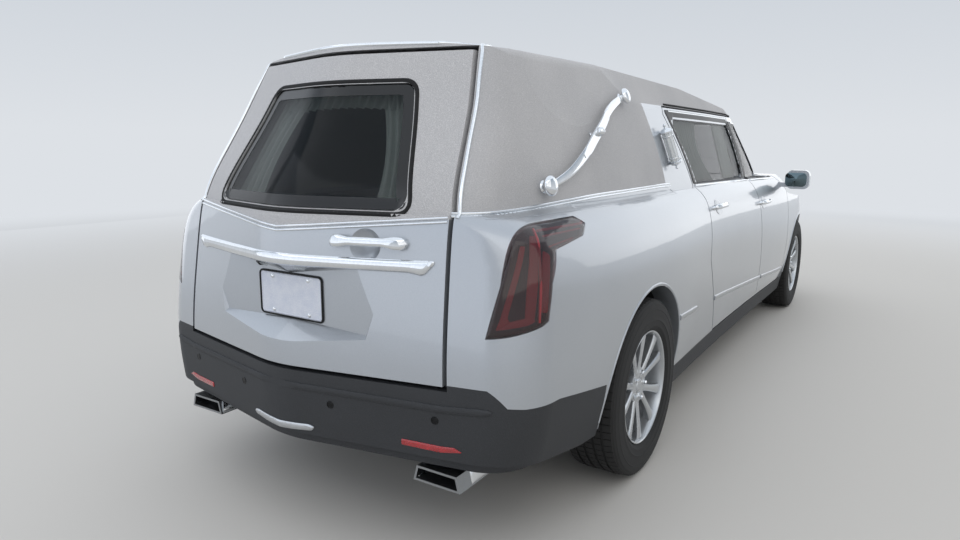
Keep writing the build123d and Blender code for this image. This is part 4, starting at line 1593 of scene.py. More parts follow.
@dataclass
class LandauBars:
    """The S-shaped bars on the landau panels, each a strap between two domed knobs with a plate and post."""

    hull: Hull
    stand_off: float = 0.028
    strap_width: float = 0.04
    strap_thick: float = 0.0055
    knob_r: float = 0.036
    samples: int = 56

    LINE = (
        (2.355, 1.236), (2.295, 1.25), (2.202, 1.283), (2.088, 1.343), (2.01, 1.392), (1.922, 1.443),
        (1.816, 1.506), (1.687, 1.55), (1.59, 1.574),
    )

    def knob(self, radius: float, height: float) -> Shape:
        """Makes a domed knob on a turned stem, along +z from the cloth.

        Args:
            radius: Radius of the dome.
            height: Height over the cloth.

        Returns:
            The closed shape.
        """
        r, h = radius, height
        return lathe([
            (0.0, h), (r * 0.35, h * 0.985), (r * 0.66, h * 0.93), (r * 0.88, h * 0.83),
            (r * 0.985, h * 0.72), (r, h * 0.64), (r * 0.97, h * 0.55), (r * 0.8, h * 0.5),
            (r * 0.52, h * 0.46), (r * 0.46, h * 0.2), (r * 0.62, h * 0.08), (r * 0.66, -0.004),
            (0.0, -0.004),
        ], 48, Axis.Z)

    def build(self) -> None:
        """Makes both bars."""
        shape = Shape()
        for _, side in SIDES:
            flat = curve_through([(0.0, y, z) for y, z in self.LINE], self.samples)
            seats = [self.hull.side(side, p.y, p.z) for p in flat]
            outs = [
                sum((
                    seats[k].out for k in range(max(i - 4, 0), min(i + 5, len(seats)))
                ), Vector()).normalized()
                for i in range(len(seats))
            ]
            raised = []
            for i, (seat, out) in enumerate(zip(seats, outs)):
                t = i / (len(seats) - 1)
                lift = self.stand_off * (0.8 + 0.35 * math.sin(math.pi * t))
                raised.append(Seat(seat.at + out * lift, out))
            section = [
                (0.5, 0.0), (0.5, 0.45), (0.36, 0.85), (0.0, 1.0), (-0.36, 0.85), (-0.5, 0.45), (-0.5, 0.0),
            ]
            outline = [(u * self.strap_width, v * self.strap_thick) for u, v in section]
            shape.join(strip(
                raised, outline, lambda t: 0.52 + 0.48 * math.sin(math.pi * min(max(t, 0.0), 1.0)) ** 0.8,
            ))
            mid = raised[17:40]
            plate = [s.raised(self.strap_thick * 0.7) for s in mid]
            shape.join(strip(
                plate,
                [
                    (0.019, 0.0), (0.019, 0.002), (0.0175, 0.0034), (-0.0175, 0.0034), (-0.019, 0.002),
                    (-0.019, 0.0),
                ],
                lambda t: min(1.0, 0.42 + 4.2 * min(t, 1 - t)),
            ))
            for seat, radius, height in (
                (seats[0], self.knob_r, 0.05), (seats[-1], self.knob_r * 0.93, 0.048),
                (seats[28], 0.0175, 0.062),
            ):
                shape.join(self.knob(radius, height), seat.turn())
        shape.fit("landau_bar_straps", CHROME, "chassis", Slot.CHROME, "landau_bars", sharp=30)


@dataclass
class BodyChrome:
    """Bright strips on the bodywork: double belt moulding, its paint fillet and the rear opening strip."""

    hull: Hull
    bead_width: float = 0.01

    BELT = (
        (2.715, 1.1595), (2.673, 1.16), (2.5, 1.163), (2.287, 1.174), (2.013, 1.185), (1.631, 1.188),
        (1.3, 1.1905), (1.15, 1.188),
    )
    OPENING = (
        (0.63, 1.152), (0.616, 1.24), (0.605, 1.31), (0.589, 1.4), (0.573, 1.5), (0.552, 1.6),
        (0.533, 1.69), (0.518, 1.708), (0.48, 1.715), (0.4, 1.718), (0.2, 1.723), (0.0, 1.725),
    )
    MOULDING = ((1.36, 0.595), (1.05, 0.577), (0.67, 0.552), (0.0, 0.507), (-0.647, 0.468), (-1.4, 0.42))

    def double_bead(self) -> list[Flat]:
        """Section of two half-round beads side by side."""
        w = self.bead_width
        one = [(w / 2 * math.cos(math.pi * k / 6), 0.0065 * math.sin(math.pi * k / 6)) for k in range(7)]
        return [(u + w * 0.52, v) for u, v in one] + [(u - w * 0.52, v) for u, v in one] + [
            (-w * 1.02, -0.004), (w * 1.02, -0.004),
        ]

    def build(self) -> None:
        """Makes the strips."""
        belt = Shape()
        for _, side in SIDES:
            flat = curve_through([(0.0, y, z) for y, z in self.BELT], 90)
            seats = [self.hull.side(side, p.y, p.z + 0.002) for p in flat]
            belt.join(strip(
                seats, self.double_bead(), lambda t: 1.0 if t < 0.985 else 0.55 + 0.45 * (1 - t) / 0.015,
            ))
        belt.fit("belt_double_bead", CHROME, "chassis", Slot.CHROME, "belt_mouldings", sharp=40)
        fillet = Shape()
        for _, side in SIDES:
            line = [(y, z + 0.003) for y, z in self.BELT if y < 2.71]
            outline = line + [(1.15, 1.15), (2.673, 1.15)]
            fillet.join(Patch(
                outline, lambda y, z, side=side: self.hull.side(side, y, z), height=0.0016, depth=0.0015,
                crown=0.0008, round=0.004, mesh=0.02,
            ).shape())
        fillet.fit("belt_paint_fillet", SILVER_PAINT, "chassis", Slot.PAINT, sharp=40)
        opening = Shape()
        for _, side in SIDES:
            flat = curve_through([(x, 0.0, z) for x, z in self.OPENING], 80)
            seats = [self.hull.rear(side * p.x, p.z) for p in flat]
            opening.join(strip(seats, bead(0.014, 0.0065)))
        opening.fit("rear_opening_strip", CHROME, "chassis", Slot.CHROME, sharp=40)


@dataclass
class TailgateDress:
    """Outside of the rear door: V strip, winged bar, handle, camera, plate, window frit and gasket."""

    hull: Hull
    v_centre: float = 1.0975
    v_end: float = 1.148
    v_half: float = 0.602
    bar_proud: float = 0.013
    recess_top: float = 0.998
    camera: Flat = (0.135, 0.964)
    lamp_x: float = 0.09
    lamp_z: float = 0.9715
    handle_x: float = -0.35
    handle_z: float = 1.066
    handle_half: float = 0.138
    foot_x: float = 0.114
    bolt_x: float = 0.0889
    bolt_z: float = 0.0605
    strip_gap: float = 0.0065
    plate_width: float = 0.305
    plate_height: float = 0.152
    plate_y: float = 2.834
    plate_z: float = 0.856

    BAR = (
        (0.0, 1.0165), (0.3, 1.0175), (0.5, 1.02), (0.574, 1.022), (0.576, 1.012), (0.548, 0.978),
        (0.533, 0.972), (0.516, 0.976), (0.49, 0.98), (0.3, 0.9775), (0.0, 0.976),
    )
    WINDOW = ((0.462, 1.167), (0.338, 1.583))

    def v_strip(self) -> None:
        """Makes the double bright strip of the V between paint and vinyl."""
        shape = Shape()
        for shift in (self.strip_gap, -self.strip_gap):
            for _, side in SIDES:
                seats = row(
                    self.hull.rear, (0.0, self.v_centre + shift), (side * self.v_half, self.v_end + shift),
                    39,
                )
                shape.join(strip(seats, bead(0.009, 0.006)))
        shape.fit("tailgate_v_strip", CHROME, "tailgate", Slot.CHROME, "tailgate_trim", sharp=40)

    def bar(self) -> None:
        """Makes the winged bar over the plate, with its lamp slot underneath, and the camera beside it."""

        def clear(x: float, z: float) -> Seat:
            """Place on the rear door, read on its plain half and above the plate's recess."""
            seat = self.hull.rear(abs(x), max(z, self.recess_top))
            flip = -1.0 if x < 0 else 1.0
            return Seat(Vector((x, seat.at.y, z)), Vector((seat.out.x * flip, seat.out.y, seat.out.z)))

        patch = Patch(
            round_outline(mirrored(self.BAR), 0.006, 2), clear, height=self.bar_proud, depth=0.003,
            crown=0.0085, round=0.017,
        )
        patch.shape().fit("tailgate_winged_bar", CHROME, "tailgate", Slot.CHROME, sharp=42)
        turn = self.hull.rear(*self.camera).turn()
        eye = lathe([
            (0.0, 0.0135), (0.004, 0.0128), (0.0062, 0.0112), (0.0066, 0.0095), (0.0105, 0.0085),
            (0.0125, 0.005), (0.0128, -0.006), (0.0, -0.006),
        ], 28, Axis.Z)
        hood = Shape().skin([
            [Vector((u * s, v * s + 0.002, h)) for u, v in rounded(0.042, 0.02, 0.009)]
            for s, h in ((1.1, -0.006), (1.0, 0.004), (0.8, 0.0085))
        ])
        Shape().join(hood, turn).join(eye, turn).fit(
            "tailgate_camera", GLOSS_BLACK, "tailgate", Slot.DARK_TRIM,
        )
        lights = Shape()
        for x in (-self.lamp_x, self.lamp_x):
            seat = self.hull.rear(x, self.lamp_z)
            turn = Seat(seat.at + Vector((0, 0.004, -0.004)), seat.out).turn()
            lights.join(stack(
                rounded(0.044, 0.013, 0.005), ((1.0, -0.01), (1.0, 0.0045), (0.86, 0.007)),
            ), turn)
        lights.fit("plate_lamps", CLEAR_LENS, "tailgate", Slot.CLEAR_LENS)

    def handle(self) -> None:
        """Makes the strap handle: a bowed grip with oval ends on two feet, over the door's round cup."""
        above, higher = self.hull.rear(self.handle_x, 1.115), self.hull.rear(self.handle_x, 1.135)
        turn = Seat(Vector((self.handle_x, above.at.y + 0.004, self.handle_z)), higher.out).turn()
        flip = Matrix.Identity(4)
        if (turn.to_3x3() @ Vector((0, 1, 0))).z < 0:
            flip = Matrix.Rotation(math.pi, 4, "Z")
        turn = turn @ flip
        rings = []
        for k in range(33):
            t = k / 32 * 2 - 1
            x = t * self.handle_half
            lift = 0.036 - 0.02 * abs(t) ** 2.6
            wide = 0.014 + 0.0065 * min(max(0.0, (abs(t) - 0.45) / 0.25), 1.0)
            thick = 0.0065 + 0.003 * abs(t)
            if abs(t) > 0.84:
                close = math.sqrt(max(0.01, 1 - ((abs(t) - 0.84) / 0.161) ** 2))
                wide, thick = wide * close, thick * max(close, 0.3)
            rings.append([Vector((x, u, lift + v)) for u, v in oval(wide, thick, 16)])
        grip = Shape().skin(rings)
        for sign in (-1, 1):
            boss = Shape().skin([
                [Vector((sign * self.foot_x + u, v, h)) for u, v in oval(0.022 * s, 0.018 * s, 28)]
                for s, h in ((1.12, -0.012), (1.1, 0.004), (0.96, 0.01), (0.8, 0.02))
            ])
            grip.join(boss)
        Shape().join(grip, turn).fit("tailgate_handle", CHROME, "tailgate", Slot.CHROME, sharp=38)

    def plate(self) -> None:
        """Makes the blank number plate with its pressed border, and four bolts."""
        w, h = self.plate_width, self.plate_height
        y = self.plate_y
        layers = (
            (0.0, 0.0), (0.0, 0.0012), (0.0008, 0.002), (0.003, 0.002), (0.0042, 0.0034), (0.0064, 0.0034),
            (0.0078, 0.0018),
        )
        rings = []
        for inset, lift in layers:
            rings.append([
                Vector((u, y + lift, self.plate_z + v))
                for u, v in rounded(w - 2 * inset, h - 2 * inset, 0.013 - inset, 6)
            ])
        Shape().skin(rings).fit(
            "number_plate_blank", PLATE_PAINT, "tailgate", Slot.PLATE, "number_plate", sharp=30,
        )
        holder = Shape()
        loops = []
        for out, lift in (
            (0.0, 0.0006), (0.0045, 0.0006), (0.006, 0.0028), (0.0046, 0.0056), (-0.0006, 0.0056),
            (-0.0014, 0.0042), (0.0, 0.0034),
        ):
            loops.append([
                Vector((u, y + lift, self.plate_z + v))
                for u, v in rounded(w + 2 * out, h + 2 * out, 0.013 + out, 6)
            ])
        holder.skin(loops, round_again=True)
        holder.fit("number_plate_frame", GLOSS_BLACK, "tailgate", Slot.DARK_TRIM, sharp=40)
        bolt = lathe([
            (0.0, 0.0052), (0.0036, 0.005), (0.0058, 0.004), (0.0066, 0.0022), (0.0078, 0.0018),
            (0.008, 0.0), (0.0, 0.0),
        ], 24, Axis.Y)
        bolts = Shape()
        for x in (-self.bolt_x, self.bolt_x):
            for z in (-self.bolt_z, self.bolt_z):
                bolts.join(bolt, Matrix.Translation((x, y + 0.0016, self.plate_z + z)))
        bolts.fit("plate_bolts", CHROME, "tailgate", Slot.STEEL)

    def window(self) -> None:
        """Makes the printed frit inside the glass edge and the rubber gasket round the opening."""
        (x0, z0), (x1, z1) = self.WINDOW
        loop = round_outline([(x0, z0), (x1, z1), (-x1, z1), (-x0, z0)], 0.045, 6)
        outer = [tuple(Vector(p)) for p in loop]
        centre = Vector((0.0, (z0 + z1) / 2))

        def grown(by: float) -> list[Flat]:
            """The window's outline moved outwards.

            Args:
                by: Distance outwards.

            Returns:
                The moved outline.
            """
            out = []
            for k, p in enumerate(outer):
                a, b = Vector(outer[k - 1]), Vector(outer[(k + 1) % len(outer)])
                step = (b - a).normalized()
                aside = Vector((step.y, -step.x))
                if aside.dot(Vector(p) - centre) < 0:
                    aside.negate()
                out.append(tuple(Vector(p) + aside * by))
            return out

        shape = Patch(
            grown(0.0165), self.hull.rear, height=0.0035, depth=0.004, crown=0.003, round=0.007, mesh=0.014,
            holes=[grown(0.0025)],
        ).shape()
        shape.fit("tailgate_window_gasket", SEAL, "tailgate", Slot.DARK_TRIM, sharp=50)
        glass = [grown(-0.004), grown(-0.04)]
        frit = Patch(
            glass[0], lambda x, z: Seat(self.hull.rear(x, z).at, Vector((0, 1, 0))), height=0.0012,
            depth=-0.0002, crown=0.0, round=0.004, mesh=0.016, holes=[glass[1]],
        ).shape()
        frit.fit("tailgate_window_frit", FRIT, "tailgate", Slot.DARK_TRIM, sharp=60)

    def build(self) -> None:
        """Makes all of it."""
        self.v_strip()
        self.bar()
        self.handle()
        self.plate()
        self.window()


@dataclass
class RearBumperDress:
    """Step moulding, sensors, reflectors, satin blade and exhaust tips at the bottom of the tail."""

    hull: Hull

    STEP = (
        (0.0, 0.577), (0.62, 0.572), (0.75, 0.58), (0.778, 0.579), (0.79, 0.57), (0.774, 0.56),
        (0.75, 0.556), (0.62, 0.548), (0.0, 0.553),
    )
    BLADE = ((0.0, 0.422), (0.13, 0.43), (0.152, 0.423), (0.14, 0.408), (0.0, 0.396))
    REFLEX = (
        (0.4815, 0.419), (0.618, 0.415), (0.691, 0.426), (0.664, 0.439), (0.618, 0.436), (0.4815, 0.439),
    )
    SENSORS = ((0.22, 0.515), (0.6, 0.52))
    TIP = ((0.499, 0.286), (0.686, 0.286), (0.672, 0.34), (0.509, 0.34))

    def build(self) -> None:
        """Makes the pieces."""
        step = Patch(
            round_outline(mirrored(self.STEP), 0.006, 2), self.hull.rear, height=0.006, depth=0.004,
            crown=0.004, mesh=0.014,
        )
        step.shape().fit("rear_bumper_step", TRIM, "chassis", Slot.DARK_TRIM, sharp=40)
        blade = Patch(
            round_outline(mirrored(self.BLADE), 0.006, 2), self.hull.rear, height=0.0055, depth=0.004,
            crown=0.0035,
        )
        blade.shape().fit("rear_bumper_blade", SATIN, "chassis", Slot.CHROME, sharp=40)
        reflex, sensors, bezels = Shape(), Shape(), Shape()
        for _, side in SIDES:
            outline = [(side * x, z) for x, z in self.REFLEX]
            reflex.join(Patch(
                round_outline(outline, 0.004, 2), self.hull.rear, height=0.0035, depth=0.004, round=0.005,
                mesh=0.01,
            ).shape())
            for x, z in self.SENSORS:
                seat = self.hull.rear(side * x, z)
                turn = seat.turn()
                sensors.join(lathe([
                    (0.0, 0.0015), (0.008, 0.0014), (0.0092, 0.0004), (0.0094, -0.004), (0.0, -0.004),
                ], 28, Axis.Z), turn)
                bezels.join(lathe([
                    (0.0098, 0.001), (0.0125, 0.0016), (0.0138, 0.0), (0.0138, -0.003), (0.0098, -0.003),
                ], 28, Axis.Z), turn)
        reflex.fit("rear_reflectors", RED_REFLEX, "chassis", Slot.RED_LENS, sharp=40)
        sensors.join(bezels).fit("rear_parking_sensors", GLOSS_BLACK, "chassis", Slot.DARK_TRIM)
        self.tips()

    def tips(self) -> None:
        """Makes the bright exhaust tips round the pipes' ends, with sooted throats."""
        shape, soot = Shape(), Shape()
        for _, side in SIDES:
            corner = [Vector((side * x, z)) for x, z in self.TIP]
            middle = sum(corner, Vector((0, 0))) / 4

            def ring(grow: float, y: float, lean: float = 0.0) -> list[Vector]:
                """One rounded outline of the tip."""
                out = []
                for x, z in round_outline([
                    tuple(middle + (c - middle) * (1 + grow / 0.05)) for c in corner
                ], 0.017, 5):
                    out.append(Vector((x, y - (x * side - 0.499) * 0.345 + lean * (0.34 - z), z)))
                return out

            shape.skin([
                ring(0.002, 2.56), ring(0.0022, 2.74), ring(0.0024, 2.772, 0.1), ring(0.002, 2.776, 0.1),
                ring(0.0, 2.778, 0.1), ring(-0.003, 2.776, 0.1), ring(-0.0046, 2.772, 0.1),
                ring(-0.006, 2.74), ring(-0.0062, 2.64),
            ], caps=False)
            soot.skin([ring(-0.0055, 2.735), ring(-0.0066, 2.735), ring(-0.0066, 2.6)])
        shape.fit("exhaust_tips", CHROME, "chassis", Slot.CHROME, sharp=50, close=False)
        soot.fit("exhaust_throats", SEAL, "chassis", Slot.DARK_TRIM)


@dataclass
class SideDress:
    """Both sides' handles, window surrounds, pillar covers, low mouldings, drip rails and mirror glasses."""

    hull: Hull

    FRONT_GLASS = ((-1.165, 1.152), (-0.49, 1.164), (-0.314, 1.508), (-0.61, 1.508))
    REAR_GLASS = ((-0.345, 1.168), (0.725, 1.182), (0.985, 1.51), (-0.168, 1.51))
    HANDLES = (("rear_door", 0.59, 1.05), ("front_door", -0.56, 1.0))
    RAIL = ((1.02, 1.578), (0.442, 1.578), (0.017, 1.578), (-0.2, 1.577), (-0.48, 1.572))
    PILLARS = {
        "front_door": ((-0.46, 1.166), (-0.425, 1.166), (-0.222, 1.534), (-0.29, 1.534)),
        "rear_door": ((-0.398, 1.166), (-0.372, 1.166), (-0.192, 1.534), (-0.205, 1.534)),
    }
    # Low moulding's body, and the lengths where it starts and ends.
    RUNS = (
        ("chassis", 1.36, 1.045), ("rear_door", 0.625, -0.595), ("front_door", -0.635, -1.4),
    )

    def line(self, y: float) -> float:
        """Height of the low moulding's middle at a length.

        Args:
            y: The length.

        Returns:
            The height.
        """
        points = BodyChrome.MOULDING
        for (y1, z1), (y2, z2) in zip(points, points[1:]):
            if y >= y2:
                return z1 + (z2 - z1) * (y1 - y) / (y1 - y2)
        return points[-1][1]

    def mouldings(self) -> None:
        """Makes the low bright mouldings, one for each panel."""
        for body, start, end in self.RUNS:
            for name, side in SIDES:
                seats = [
                    self.hull.side(
                        side, start + (end - start) * k / 40, self.line(start + (end - start) * k / 40),
                    )
                    for k in range(41)
                ]
                shape = strip(seats, [
                    (0.0125, -0.003), (0.0125, 0.003), (0.01, 0.0065), (-0.002, 0.008), (-0.0105, 0.006),
                    (-0.0125, 0.003), (-0.0125, -0.003),
                ])
                on = body if body == "chassis" else f"{body}_{name}"
                shape.fit(f"{body}_{name}_low_moulding", SATIN, on, Slot.CHROME, sharp=35)

    def surround(self, glass: Sequence[Flat], body: str) -> None:
        """Makes a window's gloss black surround, with the bright strip along its foot.

        Args:
            glass: Corners of the pane.
            body: Body that carries it.
        """
        centre = Vector((sum(p[0] for p in glass) / 4, sum(p[1] for p in glass) / 4))

        def scaled(up: float, low: float, fore: float, aft: float) -> list[Flat]:
            """The glass outline grown by a margin on each edge."""
            out = []
            for y, z in glass:
                out.append((y + (aft if y > centre.x else -fore), z + (up if z > centre.y else -low)))
            return round_outline(out, 0.022, 4)

        for name, side in SIDES:

            def place(y: float, z: float, side: float = side) -> Seat:
                """Place on this flank."""
                return self.hull.side(side, y, z)

            outer, inner = scaled(
                0.042 if body == "rear_door" else 0.026, 0.004, 0.01,
                0.056 if body == "rear_door" else 0.024,
            ), scaled(-0.006, -0.006, -0.006, -0.006)
            ring = Patch(
                outer, place, height=0.0025, depth=0.0015, crown=0.0015, round=0.004, mesh=0.02,
                holes=[inner],
            ).shape()
            ring.fit(
                f"{body}_{name}_window_surround", GLOSS_BLACK, f"{body}_{name}", Slot.DARK_TRIM, sharp=45,
            )
            low = sorted(glass, key=lambda p: p[1])[:2]
            (ya, za), (yb, zb) = sorted(low)
            trim = strip(row(place, (ya - 0.015, za - 0.0125), (yb + 0.03, zb - 0.0125)), bead(0.0135, 0.006))
            (yc, zc), (yd, zd) = sorted(sorted(glass, key=lambda p: p[1])[2:])
            over = 0.036 if body == "rear_door" else 0.02
            trim.join(strip(row(place, (yc, zc + over), (yd, zd + over)), bead(0.009, 0.005)))
            trim.fit(f"{body}_{name}_window_strips", CHROME, f"{body}_{name}", Slot.CHROME, sharp=40)

    def handles(self) -> None:
        """Makes the door handles: a bowed bright grip over a dished cup with a bright rim."""
        for body, y, z in self.HANDLES:
            for name, side in SIDES:
                seat = self.hull.side(side, y, z)
                along = Vector((0, 1, 0))
                across = seat.out.cross(along).normalized()
                if across.z < 0:
                    across.negate()
                rings = []
                for k in range(31):
                    t = k / 30 * 2 - 1
                    lift = 0.04 - 0.022 * abs(t) ** 3
                    end = math.sqrt(max(0.03, 1 - max(0.0, (abs(t) - 0.9) / 0.101) ** 2))
                    wide, thick = 0.014 * end, 0.0075 * end
                    middle = seat.at + along * (t * 0.112) + seat.out * (lift - 0.002)
                    rings.append([middle + across * u + seat.out * v for u, v in oval(wide, thick, 16)])
                grip = Shape().skin(rings)
                for sign in (-1, 1):
                    foot = []
                    for s, h in ((1.15, -0.004), (1.0, 0.006), (0.85, 0.02)):
                        ring = oval(0.015 * s, 0.0125 * s, 20)
                        foot.append([
                            seat.at + along * (sign * 0.094 + u) + across * v + seat.out * h
                            for u, v in ring
                        ])
                    grip.skin(foot)
                grip.fit(f"{body}_{name}_handle", CHROME, f"{body}_{name}", Slot.CHROME, sharp=40)
                cup = []
                for s, h in (
                    (1.12, -0.003), (1.1, 0.002), (1.02, 0.0024), (0.92, 0.0012), (0.6, 0.0008),
                    (0.2, 0.0006),
                ):
                    ring = oval(0.058 * s, 0.036 * s, 32)
                    cup.append([self.hull.side(side, y + u, z + v).at + seat.out * h for u, v in ring])
                Shape().skin(cup).fit(
                    f"{body}_{name}_handle_cup", SATIN, f"{body}_{name}", Slot.CHROME, sharp=40,
                )

    def pillars(self) -> None:
        """Makes the black pillar covers between the door windows."""
        for body, points in self.PILLARS.items():
            for name, side in SIDES:
                shape = Patch(
                    points, lambda y, z, side=side: self.hull.side(side, y, z), height=0.0022, depth=0.0015,
                    crown=0.001, round=0.003, mesh=0.02,
                ).shape()
                shape.fit(
                    f"{body}_{name}_pillar_cover", GLOSS_BLACK, f"{body}_{name}", Slot.DARK_TRIM, sharp=45,
                )

    def rails(self) -> None:
        """Makes the dark drip rails under the edge of the roof covering."""
        shape = Shape()
        for _, side in SIDES:
            line = curve_through([(0.0, y, z) for y, z in self.RAIL], 60)
            seats = [self.hull.side(side, p.y, p.z) for p in line]
            shape.join(strip(seats, bead(0.01, 0.006)))
        shape.fit("roof_drip_rails", SEAL, "chassis", Slot.DARK_TRIM, sharp=40)

    def mirrors(self) -> None:
        """Makes the mirror glasses in their dark housings' rear faces."""
        for name, side in SIDES:
            low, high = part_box(f"mirror_{name}")
            centre = (low + high) / 2
            rings = []
            for s, y in ((1.0, high.y - 0.004), (1.0, high.y + 0.001), (0.965, high.y + 0.0022)):
                rings.append([
                    Vector((centre.x + side * 0.018 + u * s, y, centre.z + v * s))
                    for u, v in rounded(0.15, 0.104, 0.03, 6)
                ])
            Shape().skin(rings).fit(f"mirror_glass_{name}", MIRROR, f"front_door_{name}", Slot.DARK_TRIM)

    def build(self) -> None:
        """Makes all of it."""
        self.mouldings()
        self.surround(self.FRONT_GLASS, "front_door")
        self.surround(self.REAR_GLASS, "rear_door")
        self.pillars()
        self.handles()
        self.rails()
        self.mirrors()


@dataclass
class CoachLamps:
    """Coach lamps on the panels behind the rear doors: glazed barrels between stepped caps with finials."""

    hull: Hull
    y: float = 1.13
    low: float = 1.258
    high: float = 1.472
    barrel_r: float = 0.024
    stand: float = 0.03
    foot_shift: float = -0.028
    top_shift: float = 0.05
    cap_length: float = 0.045
    ribs: int = 8

    def build(self, repeat: Repeat) -> None:
        """Makes both lamps.

        Args:
            repeat: Tree that repeats a piece.
        """
        metal, glass = Shape(), Shape()
        for _, side in SIDES:
            foot, top = self.hull.side(side, self.y + self.foot_shift, self.low), self.hull.side(
                side, self.y + self.top_shift, self.high,
            )
            out = (foot.out + top.out).normalized()
            axis = (top.at - foot.at).normalized()
            out = (out - axis * out.dot(axis)).normalized()
            along = axis.cross(out)
            base = foot.at + out * self.stand
            length = (top.at - foot.at).length
            frame_matrix = Matrix((along, out, axis)).transposed().to_4x4()
            frame_matrix.translation = base
            r = self.barrel_r

            def cap(flip: bool) -> Shape:
                """Makes one stepped cap with its finial."""
                profile = [
                    (0.0, 0.0), (r * 1.12, 0.0), (r * 1.3, 0.003), (r * 1.3, 0.009), (r * 1.12, 0.011),
                    (r * 0.92, 0.017), (r * 0.62, 0.02), (r * 0.4, 0.0225), (r * 0.22, 0.026),
                    (r * 0.2, 0.03), (r * 0.3, 0.034), (r * 0.31, 0.038), (r * 0.2, 0.042), (0.0, 0.044),
                ]
                made = lathe(profile, 36, Axis.Z)
                turn = Matrix.Rotation(math.pi, 4, "X") if flip else Matrix.Identity(4)
                return Shape().join(
                    made,
                    Matrix.Translation((0, 0, self.cap_length if flip else length - self.cap_length)) @ turn,
                )

            barrel = lathe([
                (0.0, 0.045), (r * 0.86, 0.045), (r * 0.9, 0.05), (r * 0.9, length - 0.05),
                (r * 0.86, length - 0.045), (0.0, length - 0.045),
            ], 36, Axis.Z)
            glass.join(barrel, frame_matrix)
            rib = Shape().skin([
                [Vector((r * 0.93 + u, v, h)) for u, v in rounded(0.0044, 0.0052, 0.0018, 2)]
                for h in (0.044, length - 0.044)
            ])
            ribs = repeat.of(rib, self.ribs, (0, 0, 0), (0, 0, math.tau / self.ribs), CHROME)
            metal.join(ribs, frame_matrix).join(cap(True), frame_matrix).join(cap(False), frame_matrix)
            for h in (0.062, length - 0.062):
                band = lathe([
                    (r * 0.88, h - 0.003), (r * 1.02, h - 0.003), (r * 1.06, h), (r * 1.02, h + 0.003),
                    (r * 0.88, h + 0.003),
                ], 36, Axis.Z)
                metal.join(band, frame_matrix)
            for h in (0.04, length - 0.04):
                arm = beam(oval(0.0075, 0.0065, 16), (0.0, -0.03, h), (0.0, -0.004, h), (0, 2))
                metal.join(arm, frame_matrix)
        metal.fit("coach_lamp_metalwork", CHROME, "chassis", Slot.CHROME, "coach_lamps", sharp=35)
        glass.fit("coach_lamp_glass", OPAL, "chassis", Slot.CLEAR_LENS)


